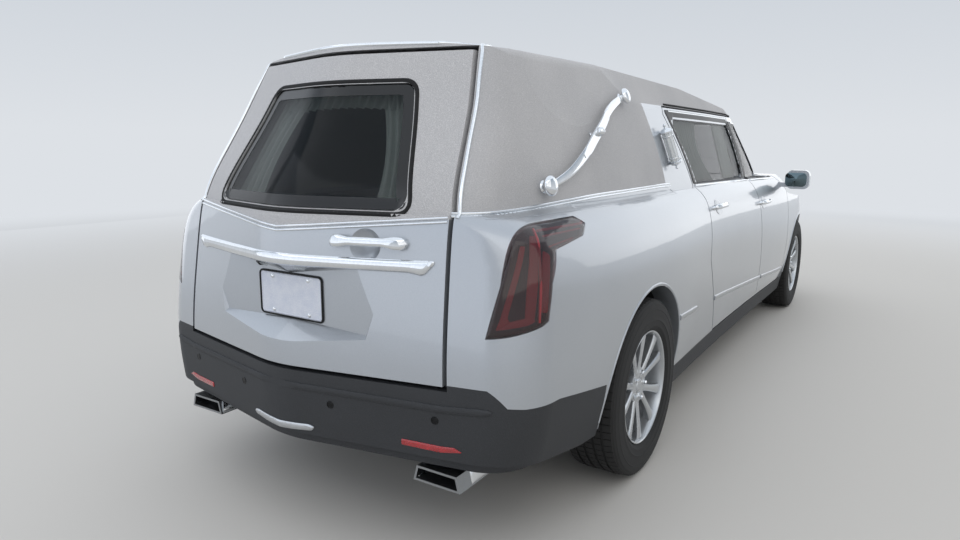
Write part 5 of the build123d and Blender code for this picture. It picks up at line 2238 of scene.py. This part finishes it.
@dataclass
class FrontDress:
    """Nose furnishings: grille of fine bars, headlamps, light strips, lower intake and wipers."""

    hull: Hull

    GRILLE = ((0.0, 0.842), (0.39, 0.842), (0.392, 0.645), (0.324, 0.45), (0.0, 0.45))
    INTAKE = ((0.0, 0.36), (0.36, 0.36), (0.41, 0.3), (0.36, 0.26), (0.0, 0.255))
    STRIP = ((0.56, 0.63), (0.63, 0.64), (0.65, 0.44), (0.605, 0.36), (0.585, 0.44))
    LAMP = ((-1.64, 0.848), (-1.259, 0.88), (-1.092, 0.846), (-1.15, 0.709), (-1.64, 0.709))
    # Wipers as (blade's start, blade's end, pivot), and wheel openings as (end, length).
    WIPERS = (((0.56, 1.128), (0.02, 1.165), (0.5, 1.105)), ((-0.02, 1.128), (-0.54, 1.16), (-0.08, 1.105)))
    OPENINGS = (("front", -1.97), ("rear", 1.75))
    SLATS = (0.28, 0.299, 0.318, 0.337)
    bars: int = 17
    bar_step: float = 0.0215
    uprights: int = 11
    upright_step: float = 0.054
    axle_z: float = 0.376
    lip_r: float = 0.44

    def grille(self, repeat: Repeat) -> None:
        """Makes the surround and the repeated bars.

        Args:
            repeat: Tree that repeats a piece.
        """
        loop = round_outline(mirrored(self.GRILLE), 0.03, 4)
        inner = [((x * 0.915), 0.646 + (z - 0.646) * 0.885) for x, z in loop]

        def face(x: float, z: float) -> Seat:
            """Place on the nose's smooth front, behind the grille's bars."""
            y = -2.908 + 0.55 * x * x + 0.1 * max(0.0, z - 0.62)
            return Seat(Vector((x, y, z)), Vector((x * 1.1, -1.0, 0.05)).normalized())

        ring = Patch(
            loop, face, height=0.01, depth=0.06, crown=0.008, round=0.014, mesh=0.016, holes=[inner],
        ).shape()
        ring.fit("grille_surround", CHROME, "chassis", Slot.CHROME, "grille", sharp=40)
        bar = Shape()
        rings = []
        for k in range(25):
            x = -0.348 + 0.696 * k / 24
            seat = face(x, 0.0)
            rings.append([
                Vector((x, seat.at.y + 0.01 + u, v))
                for u, v in (
                    (-0.0045, 0.0), (-0.003, 0.003), (0.015, 0.0022), (0.015, -0.0022), (-0.003, -0.003),
                )
            ])
        bar.skin(rings)
        base = Shape().join(bar, Matrix.Translation((0, 0.004, 0.488)))
        rows = repeat.of(base, self.bars, (0.0, 0.0004, self.bar_step * 0.93), (0, 0, 0), SATIN)
        shape = Shape()
        for p in rows.points:
            limit = 0.298 + 0.065 * min(max((p.z - 0.45) / 0.195, 0.0), 1.0)
            p.x = max(-limit, min(limit, p.x))
        shape.join(rows)
        back = Patch(
            inner, lambda x, z: Seat(face(x, z).at + Vector((0, 0.04, 0)), Vector((0, -1, 0))), height=0.0,
            depth=0.01, crown=0.0, round=0.004, mesh=0.03,
        ).shape()
        shape.fit("grille_bars", SATIN, "chassis", Slot.CHROME, sharp=35)
        back.fit("grille_backing", SEAL, "chassis", Slot.DARK_TRIM)
        upright = Shape().skin([
            [
                Vector((u, face(0, 0.6).at.y + 0.0105 + v, z))
                for u, v in ((-0.0022, 0.0), (0.0022, 0.0), (0.0022, 0.014), (-0.0022, 0.014))
            ]
            for z in (0.472, 0.826)
        ])
        columns = repeat.of(
            Shape().join(upright, Matrix.Translation((-0.27, 0, 0))), self.uprights,
            (self.upright_step, 0, 0), (0, 0, 0), GLOSS_BLACK,
        )
        for p in columns.points:
            p.y += 0.55 * p.x * p.x + 0.004
            p.z = max(p.z, 0.472 + max(0.0, abs(p.x) - 0.29) * 1.4)
        columns.fit("grille_uprights", GLOSS_BLACK, "chassis", Slot.DARK_TRIM)

    def lamps(self) -> None:
        """Makes the headlamps: dark wells, projector cells, a light blade and the clear lens."""
        well, cells, lens, blade = Shape(), Shape(), Shape(), Shape()
        corner = round_outline(self.LAMP, 0.016, 3)
        for _, side in SIDES:

            def place(u: float, z: float, side: float = side) -> Seat:
                """Place on this side's front corner, seen along the diagonal."""
                middle = Vector((side, -1, 0)) / math.sqrt(2)
                across = Vector((side, 1, 0)) / math.sqrt(2)
                start = across * u + middle * 4.2 + Vector((0, 0, z))
                return self.hull.touch(start, -middle) or Seat(start - middle * 1.9, middle)

            lens.join(Patch(corner, place, height=0.002, depth=0.0035, crown=0.003, round=0.01).shape())
            well.join(Patch(
                corner, place, height=-0.018, depth=0.024, crown=0.0, round=0.004, mesh=0.016,
            ).shape())
            for k in range(4):
                seat = place(-1.54 + 0.085 * k, 0.8 + 0.006 * k)
                turn = seat.raised(-0.018).turn()
                cells.join(stack(
                    rounded(0.052, 0.05, 0.01, 4),
                    ((1.0, 0.0), (1.0, 0.01), (0.9, 0.012), (0.8, 0.006), (0.3, 0.004)),
                ), turn)
                cells.join(lathe([
                    (0.0, 0.0125), (0.006, 0.0118), (0.012, 0.0095), (0.0165, 0.006), (0.017, 0.0),
                    (0.0, 0.0),
                ], 28, Axis.Z), turn)
            seats = [
                place(-1.62 + 0.44 * k / 40, 0.738 + 0.012 * math.sin(math.pi * k / 40)) for k in range(41)
            ]
            blade.join(strip([s.raised(-0.012) for s in seats], bead(0.012, 0.007)))
        well.fit("headlamp_wells", GLOSS_BLACK, "chassis", Slot.DARK_TRIM)
        cells.fit("headlamp_cells", REFLECTOR, "chassis", Slot.CHROME, sharp=35)
        blade.fit("headlamp_blades", OPAL, "chassis", Slot.CLEAR_LENS)
        lens.fit("headlamp_lenses", CLEAR_LENS, "chassis", Slot.CLEAR_LENS, "headlamps")

    def lower(self) -> None:
        """Makes the upright light strips, the lower intake and the bright skid."""
        lights, frames = Shape(), Shape()
        for _, side in SIDES:
            outline = round_outline([(side * x, z) for x, z in self.STRIP], 0.012, 3)
            middle = (side * 0.607, 0.5)
            inner = [
                (middle[0] + (x - middle[0]) * 0.52, middle[1] + (z - middle[1]) * 0.88) for x, z in outline
            ]
            frames.join(Patch(outline, self.hull.front, height=0.005, depth=0.004, crown=0.0035).shape())
            lights.join(Patch(
                inner, self.hull.front, height=0.0085, depth=0.001, crown=0.0025, round=0.006,
            ).shape())
        frames.fit("front_light_frames", CHROME, "chassis", Slot.CHROME, sharp=40)
        lights.fit("front_light_strips", OPAL, "chassis", Slot.CLEAR_LENS, sharp=40)
        loop = round_outline(mirrored(self.INTAKE), 0.02, 3)
        Patch(loop, self.hull.front, height=0.004, depth=0.004, crown=0.003, mesh=0.016).shape().fit(
            "front_lower_intake", GLOSS_BLACK, "chassis", Slot.DARK_TRIM, sharp=40,
        )
        slats = Shape()
        for z in self.SLATS:
            half = 0.35 - abs(z - 0.3) * 0.4
            slats.join(strip(row(self.hull.front, (-half, z), (half, z)), bead(0.007, 0.0085)))
        slats.fit("front_intake_slats", TRIM, "chassis", Slot.DARK_TRIM)
        skid = strip(row(self.hull.front, (-0.44, 0.242), (0.44, 0.242), 48), flat_bar(0.022, 0.006, 0.003))
        skid.fit("front_skid", SATIN, "chassis", Slot.CHROME, sharp=40)

    def wipers(self) -> None:
        """Makes the two windscreen wipers at the foot of the glass."""
        shape = Shape()
        for start, end, pivot in self.WIPERS:
            seats = row(self.hull.front, start, end, 24)
            shape.join(strip(
                [s.raised(0.005) for s in seats], bead(0.01, 0.01, 0.003),
                lambda t: 0.5 + math.sin(math.pi * t) * 0.5,
            ))
            line = row(self.hull.front, pivot, tuple(a * 0.45 + b * 0.55 for a, b in zip(start, end)), 12)
            shape.join(strip([s.raised(0.014) for s in line], rounded(0.012, 0.007, 0.003, 2)))
        shape.fit("windscreen_wipers", TRIM, "chassis", Slot.DARK_TRIM)

    def wheel_well_lips(self) -> None:
        """Makes the rolled lips round the rear and front wheel openings."""
        for end, cy in self.OPENINGS:
            shape = Shape()
            for _, side in SIDES:
                seats = []
                for k in range(45):
                    a = math.pi * (k / 44 * 1.06 - 0.03)
                    seats.append(self.hull.side(
                        side, cy + self.lip_r * math.cos(a), self.axle_z + self.lip_r * math.sin(a),
                    ))
                shape.join(strip([
                    seat for seat in seats if abs(seat.at.x) > 0.8 and seat.at.z > 0.35
                ], bead(0.011, 0.0035)))
            shape.fit(f"{end}_wheel_opening_lips", SILVER_PAINT, "chassis", Slot.PAINT, sharp=50)

    def build(self, repeat: Repeat) -> None:
        """Makes all of it.

        Args:
            repeat: Tree that repeats a piece.
        """
        self.wheel_well_lips()
        self.grille(repeat)
        self.lamps()
        self.lower()
        self.wipers()


@dataclass
class FrontSeats:
    """Two leather front seats, each a padded cushion, back and headrest with bolsters and sewn channels."""

    across: float = 0.385
    swell: float = 0.01
    voxel: float = 0.012
    pressure: float = 4.0
    cloth_frames: int = 12
    fill: float = 0.7

    def pad(self, name: str, rings: list[list[Vector]]) -> bpy.types.Object:
        """Makes one closed pad and swells it as cloth over foam.

        Args:
            name: Name of the piece.
            rings: Its cross-sections.

        Returns:
            The finished pad.
        """
        piece = Shape().skin(rings).build(name, LEATHER, sharp=60)
        self.swell_up(piece)
        smooth = piece.modifiers.new("Subdivision", "SUBSURF")
        smooth.levels = smooth.render_levels = 1
        return piece

    def swell_up(self, piece: bpy.types.Object) -> None:
        """Remeshes a pad and lets cloth pressure round it, within a cap.

        Args:
            piece: Pad to be worked on.
        """
        remesh = piece.modifiers.new("Remesh", "REMESH")
        remesh.mode = "VOXEL"
        remesh.voxel_size = self.voxel
        self.settle(piece)
        rest = [v.co.copy() for v in piece.data.vertices]
        cloth = piece.modifiers.new("Cloth", "CLOTH")
        cloth.settings.use_pressure = True
        cloth.settings.uniform_pressure_force = self.pressure
        cloth.settings.effector_weights.gravity = 0.0
        for number in range(1, self.cloth_frames + 1):
            bpy.context.scene.frame_set(number)
        self.settle(piece)
        for vertex, before in zip(piece.data.vertices, rest):
            move = vertex.co - before
            if move.length > self.swell:
                vertex.co = before + move.normalized() * self.swell
        bpy.context.scene.frame_set(1)
        piece.data.shade_smooth()

    def settle(self, piece: bpy.types.Object) -> None:
        """Applies a piece's modifiers to its mesh.

        Args:
            piece: Piece to be worked on.
        """
        graph = bpy.context.evaluated_depsgraph_get()
        mesh = bpy.data.meshes.new_from_object(piece.evaluated_get(graph))
        piece.modifiers.clear()
        old = piece.data
        piece.data = mesh
        bpy.data.meshes.remove(old)
        mesh.materials.clear()
        mesh.materials.append(material_of(LEATHER))

    def closing(self, t: float) -> float:
        """Scale of a pad's cross-section, which closes towards its two ends at t of 0 and 1."""
        return math.sqrt(max(0.05, 1 - max(0.0, (abs(t - 0.5) * 2 - 0.86) / 0.15) ** 2))

    def section(self, width: float, thick: float, bolster: float, dish: float) -> list[Flat]:
        """Cross-section of a cushion: raised bolsters, a dished middle with sewn channels.

        Args:
            width: Width of the cushion.
            thick: Its thickness.
            bolster: Height of the bolsters.
            dish: Depth of the middle.

        Returns:
            The outline.
        """
        out = []
        for k in range(25):
            t = k / 24 * 2 - 1
            edge = max(0.0, (abs(t) - 0.58) / 0.42)
            rise = bolster * math.sin(math.pi * min(edge, 1.0)) - dish * (
                1 - min(abs(t) / 0.6, 1.0) ** 2
            ) * 0.4
            channel = 0.006 * max(0.0, 1 - abs((abs(t) * 6) % 2 - 1) * 6) if abs(t) < 0.55 else 0.0
            round_off = thick * 0.35 * edge**3
            out.append((t * width / 2, thick / 2 + rise - channel - round_off))
        for k in range(9):
            t = 1 - k / 8 * 2
            out.append((t * width / 2 * 0.96, -thick / 2 + 0.012 * abs(t) ** 3))
        return out

    def build(self) -> None:
        """Makes both seats."""
        for name, side in SIDES:
            x0 = side * self.across
            cushion, back, head = [], [], []
            for k in range(13):
                t = k / 12
                squeeze = self.closing(t)
                y = -0.88 + 0.5 * t
                z = 0.575 - 0.035 * t + 0.018 * math.sin(math.pi * t)
                cushion.append([
                    Vector((x0 + u * squeeze, y, z + v * squeeze))
                    for u, v in self.section(0.5, 0.15, 0.034, 0.012)
                ])
            for k in range(15):
                t = k / 14
                squeeze = self.closing(t)
                narrow = 1.0 - 0.2 * t**2
                middle = Vector((x0, -0.4 + 0.195 * t, 0.6 + 0.56 * t))
                ahead = Vector((0, -0.94, 0.33))
                back.append([
                    middle + Vector((u * squeeze * narrow, 0, 0)) + ahead * (v * squeeze)
                    for u, v in self.section(0.48, 0.135, 0.032, 0.01)
                ])
            for k in range(9):
                t = k / 8
                squeeze = math.sqrt(max(0.08, 1 - (abs(t - 0.5) * 2) ** 4))
                middle = Vector((x0, -0.232 + 0.03 * t, 1.215 + 0.155 * t))
                head.append([
                    middle + Vector((
                        u * (0.75 + 0.25 * squeeze), 0, 0,
                    )) + Vector((0, -0.97, 0.22)) * (v * squeeze)
                    for u, v in rounded(0.25, 0.095, 0.04, 5)
                ])
            pieces = [
                self.pad(f"seat_{name}_{part}", rings)
                for part, rings in (("cushion", cushion), ("back", back), ("headrest", head))
            ]
            for piece in pieces:
                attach(piece, "chassis")
                LOG.info("%s padded", piece.name)
            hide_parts("front_seats")
            frames = Shape()
            for dx in (-0.055, 0.055):
                x = x0 + dx
                frames.join(beam(oval(0.006, 0.006, 12), (x, -0.24, 1.12), (x, -0.24, 1.235), (0, 1)))
            for dx in (-0.2, 0.2):
                x = x0 + dx
                frames.join(beam(rounded(0.036, 0.04, 0.006, 2), (x, -0.86, 0.33), (x, -0.33, 0.33), (0, 2)))
                for y in (-0.78, -0.4):
                    frames.join(beam(rounded(0.026, 0.05, 0.006, 2), (x, y, 0.35), (x, y, 0.51), (0, 1)))
            frames.fit(f"seat_{name}_frame", STEEL, "chassis", Slot.STEEL)


@dataclass
class Cabin:
    """Fittings of the casket deck, the linings, and the dashboard's hood and screen."""

    hull: Hull
    deck_z: float = 0.64
    rail_start: float = -0.04
    rail_end: float = 2.3
    pin_x: float = 0.215
    pin_y: float = 0.345
    pins: int = 6
    pin_step: float = 0.3
    socket_x: float = 0.3
    socket_y: float = 0.15
    sockets: int = 14
    socket_step: float = 0.16

    RAILS = (0.38, 0.52)
    CEILING = ((-0.56, -0.55), (0.56, -0.55), (0.5, 2.2), (-0.5, 2.2))
    CARDS = {
        "front_door": ((-1.2, 0.5), (-0.66, 0.5), (-0.54, 1.08), (-1.18, 1.08)),
        "rear_door": ((-0.54, 0.5), (0.42, 0.5), (0.6, 1.1), (-0.42, 1.1)),
    }

    def build(self, repeat: Repeat) -> None:
        """Makes the pieces.

        Args:
            repeat: Tree that repeats a piece.
        """
        rails = Shape()
        for _, side in SIDES:
            for x in self.RAILS:
                section = flat_bar(0.03, 0.006, 0.002, 0.0)
                rails.join(beam(
                    section, (side * x, self.rail_start, self.deck_z),
                    (side * x, self.rail_end, self.deck_z), (0, 2),
                ))
        rails.fit("deck_rub_rails", STEEL, "chassis", Slot.STEEL)
        pin = lathe([
            (0.0, 0.072), (0.01, 0.071), (0.016, 0.066), (0.018, 0.058), (0.018, 0.016), (0.03, 0.012),
            (0.034, 0.005), (0.034, 0.0), (0.0, 0.0),
        ], 28, Axis.Z)
        first = Shape().join(pin, Matrix.Translation((self.pin_x, self.pin_y, self.deck_z)))
        pins = repeat.of(first, self.pins, (0, self.pin_step, 0), (0, 0, 0), CHROME).both_sides()
        pins.fit("bier_pins", CHROME, "chassis", Slot.CHROME)
        socket = lathe([(0.012, 0.002), (0.02, 0.0022), (0.0225, 0.0), (0.012, 0.0)], 24, Axis.Z)
        first = Shape().join(socket, Matrix.Translation((self.socket_x, self.socket_y, self.deck_z)))
        sockets = repeat.of(first, self.sockets, (0, self.socket_step, 0), (0, 0, 0), STEEL).both_sides()
        sockets.fit("deck_pin_sockets", STEEL, "chassis", Slot.STEEL)
        self.linings()
        dash = Shape()
        hood = []
        for k in range(13):
            a = math.pi * k / 12
            hood.append([
                Vector((0.37 + 0.165 * math.cos(a), y, z + 0.05 * math.sin(a)))
                for y, z in ((-1.06, 0.995), (-1.03, 1.005), (-0.96, 0.985))
            ])
        rings = [[ring[i] for ring in hood] for i in range(3)]
        dash.skin([rings[0], [p + Vector((0, 0, 0.004)) for p in rings[1]], rings[2]])
        rings = []
        for s, y in ((1.0, -0.905), (1.0, -0.88), (0.96, -0.874)):
            rings.append([
                Vector((u * s, y + (v * s) * -0.25, 0.93 + v * s))
                for u, v in rounded(0.235, 0.14, 0.012, 4)
            ])
        dash.skin(rings)
        dash.fit("dash_hood_and_screen", DASH, "chassis", Slot.DARK_TRIM)

    def lining(
        self, name: str, body: str, slot: Slot, finish: Finish, outline: Sequence[Flat],
        place: Callable[[float, float], Seat],
    ) -> None:
        """Lays one thin lining on the inside of a panel.

        Args:
            name: Name of the piece.
            body: Body that carries it.
            slot: Material slot of the record.
            finish: Its finish.
            outline: Its edge.
            place: Finds a place on the panel's inner face.
        """
        Patch(
            outline, place, height=0.004, depth=0.001, crown=0.003, round=0.012, mesh=0.045,
        ).shape().fit(name, finish, body, slot, sharp=45)

    def linings(self) -> None:
        """Makes the headlining and the door cards, laid on the inside of the bodywork."""

        def above(x: float, y: float) -> Seat:
            """Place on the underside of the roof."""
            return self.hull.touch(Vector((x, y, 1.3)), Vector((0, 0, 1))) or Seat(
                Vector((x, y, 1.6)), Vector((0, 0, -1)),
            )

        self.lining("headlining", "chassis", Slot.UPHOLSTERY, HEADLINING, self.CEILING, above)
        for name, side in SIDES:
            for body, outline in self.CARDS.items():

                def within(y: float, z: float, side: float = side) -> Seat:
                    """Place on the inner face of this side's doors."""
                    return self.hull.touch(Vector((side * 0.66, y, z)), Vector((side, 0, 0))) or Seat(
                        Vector((side * 0.78, y, z)), Vector((-side, 0, 0)),
                    )

                self.lining(
                    f"{body}_{name}_card", f"{body}_{name}", Slot.UPHOLSTERY, DASH,
                    round_outline(outline, 0.06, 4), within,
                )


@dataclass
class Drapes:
    """Pleated drapery inside the glass: tied panels and a valance at the tail, hung panels at the sides."""

    fullness: float = 1.55
    fold: float = 0.04
    thickness: float = 0.0008
    window_head: float = 1.583
    window_rake: float = 0.505
    tail_top: float = 1.575
    valance_top: float = 1.572
    side_top: float = 1.522
    side_x: float = 0.686

    # Side panels as (part, length at the heading's start, length at its end).
    PANELS = (("rear", 0.955, 0.42), ("front", 0.08, -0.27))

    def hang(
        self, name: str, corners: Callable[[float, float], Vector], out: Callable[[float, float], Vector],
        width: float, body: str, replaced: tuple[str, ...] = (),
    ) -> None:
        """Makes one pleated panel.

        Args:
            name: Name of the piece.
            corners: Place of the cloth's mean surface by share across and share down.
            out: Outward direction there.
            width: Hung width at the heading.
            body: Body that carries it.
            replaced: CAD nodes that it stands for.
        """
        pleats = max(3, round(width / self.fold))
        across, down = pleats * 10, 26
        shape = Shape()
        for j in range(down + 1):
            t = j / down
            for i in range(across + 1):
                s = i / across
                phase = math.tau * pleats * s
                deep = self.depth(width / pleats) * (0.72 + 0.28 * t) * (
                    1 + 0.1 * math.sin(phase * 0.37 + 3 * t)
                )
                wave = deep * (
                    math.sin(phase + 0.5 * math.sin(3.1 * s + 1.7 * t)) + 0.18 * math.sin(2 * phase + 1.0)
                )
                shape.points.append(corners(s, t) + out(s, t) * wave)
        stride = across + 1
        for j in range(down):
            for i in range(across):
                a = j * stride + i
                shape.face((a, a + 1, a + 1 + stride, a + stride))
        piece = shape.build(name, DRAPERY, sharp=180, close=False)
        thick = piece.modifiers.new("Thickness", "SOLIDIFY")
        thick.thickness = self.thickness
        thick.offset = 0.0
        fit(piece, body, Slot.CURTAIN, *replaced)

    def depth(self, pitch: float) -> float:
        """Wave height that takes up the cloth's fullness at a pleat width."""
        return pitch * math.sqrt(self.fullness - 1) / 3.2

    def build(self) -> None:
        """Makes all the drapes."""
        for name, side in SIDES:

            def tail(s: float, t: float, side: float = side) -> Vector:
                """Tied panel at the tail: it narrows to its tie and falls outwards again."""
                z = self.tail_top - 0.395 * t
                edge = 0.335 + (self.window_head - z) * 0.298 - 0.02
                reach = 0.15 - 0.045 * math.sin(math.pi * min(t * 0.75, 1.0)) + 0.028 * t * t
                x = edge - 0.008 - reach * s
                y = 2.565 + (self.window_head - z) * self.window_rake - 0.055 - 0.1 * x * x
                return Vector((side * x, y, z))

            self.hang(
                f"tail_drape_{name}", tail, lambda s, t: Vector((0, 1, 0.3)).normalized(), 0.16,
                "tailgate", ("tailgate_curtain",) if name == "left" else (),
            )

        def valance(s: float, t: float) -> Vector:
            """Pleated valance along the head of the rear window."""
            x = -0.32 + 0.64 * s
            z = self.valance_top - (0.085 - 0.02 * math.cos((s - 0.5) * math.pi)) * t
            return Vector((x, 2.578 + (self.window_head - z) * self.window_rake - 0.07 - 0.1 * x * x, z))

        self.hang(
            "tail_valance", valance, lambda s, t: Vector((0, 1, 0.3)).normalized(), 0.64, "tailgate",
        )
        for name, side in SIDES:
            for part, start, end in self.PANELS:

                def panel(
                    s: float, t: float, side: float = side, start: float = start, end: float = end,
                ) -> Vector:
                    """Hung panel behind the side glass, drawn in a little at its tie."""
                    z = self.side_top - 0.345 * t
                    lean = (self.side_top - z) * -0.78
                    y = start + (end - start) * (s * (1 - 0.22 * math.sin(math.pi * t))) + lean * (
                        0.9 if start > 0.5 else 0.5
                    )
                    x = self.side_x + (self.side_top - z) * 0.185
                    return Vector((side * (x - 0.012), y, z))

                self.hang(
                    f"side_drape_{part}_{name}", panel, lambda s, t, side=side: Vector((side, 0, 0)),
                    abs(end - start), "chassis",
                    ("side_curtains",) if (name, part) == ("left", "rear") else (),
                )


@dataclass
class Underside:
    """Exhaust silencer with its two straps, seen from below."""

    middle_z: float = 0.275

    # Cross-sections of the shell as (length, scale), and the straps' places.
    SHELL = ((2.18, 0.7), (2.192, 0.94), (2.205, 1.0), (2.42, 1.0), (2.433, 0.94), (2.445, 0.7))
    STRAPS = (-0.06, 0.06)

    def build(self) -> None:
        """Makes the silencer."""
        rings = []
        for y, s in self.SHELL:
            rings.append([
                Vector((u * s, y, self.middle_z + v * s)) for u, v in rounded(0.56, 0.125, 0.055, 6)
            ])
        shape = Shape().skin(rings)
        for shift in self.STRAPS:
            shape.skin([
                [Vector((u, y + shift, self.middle_z + v)) for u, v in rounded(0.566, 0.131, 0.058, 6)]
                for y in (2.3, 2.322)
            ])
        shape.fit("exhaust_silencer", STEEL, "chassis", Slot.STEEL, sharp=35)


def main() -> None:
    """Builds the vehicle's looks, one sub-assembly after another."""
    logging.basicConfig(level=logging.INFO, format="%(name)s: %(message)s")
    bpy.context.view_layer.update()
    Studio().build()
    Coachwork().build()
    hull = Hull()
    repeat = Repeat()
    for end in ("front", "rear"):
        for side, _ in SIDES:
            RoadWheel(end, side).build(repeat)
    TailLamps(hull).build()
    LandauBars(hull).build()
    BodyChrome(hull).build()
    TailgateDress(hull).build()
    RearBumperDress(hull).build()
    SideDress(hull).build()
    CoachLamps(hull).build(repeat)
    FrontDress(hull).build(repeat)
    FrontSeats().build()
    Cabin(hull).build(repeat)
    Drapes().build()
    Underside().build()


if __name__ == "__main__":
    main()
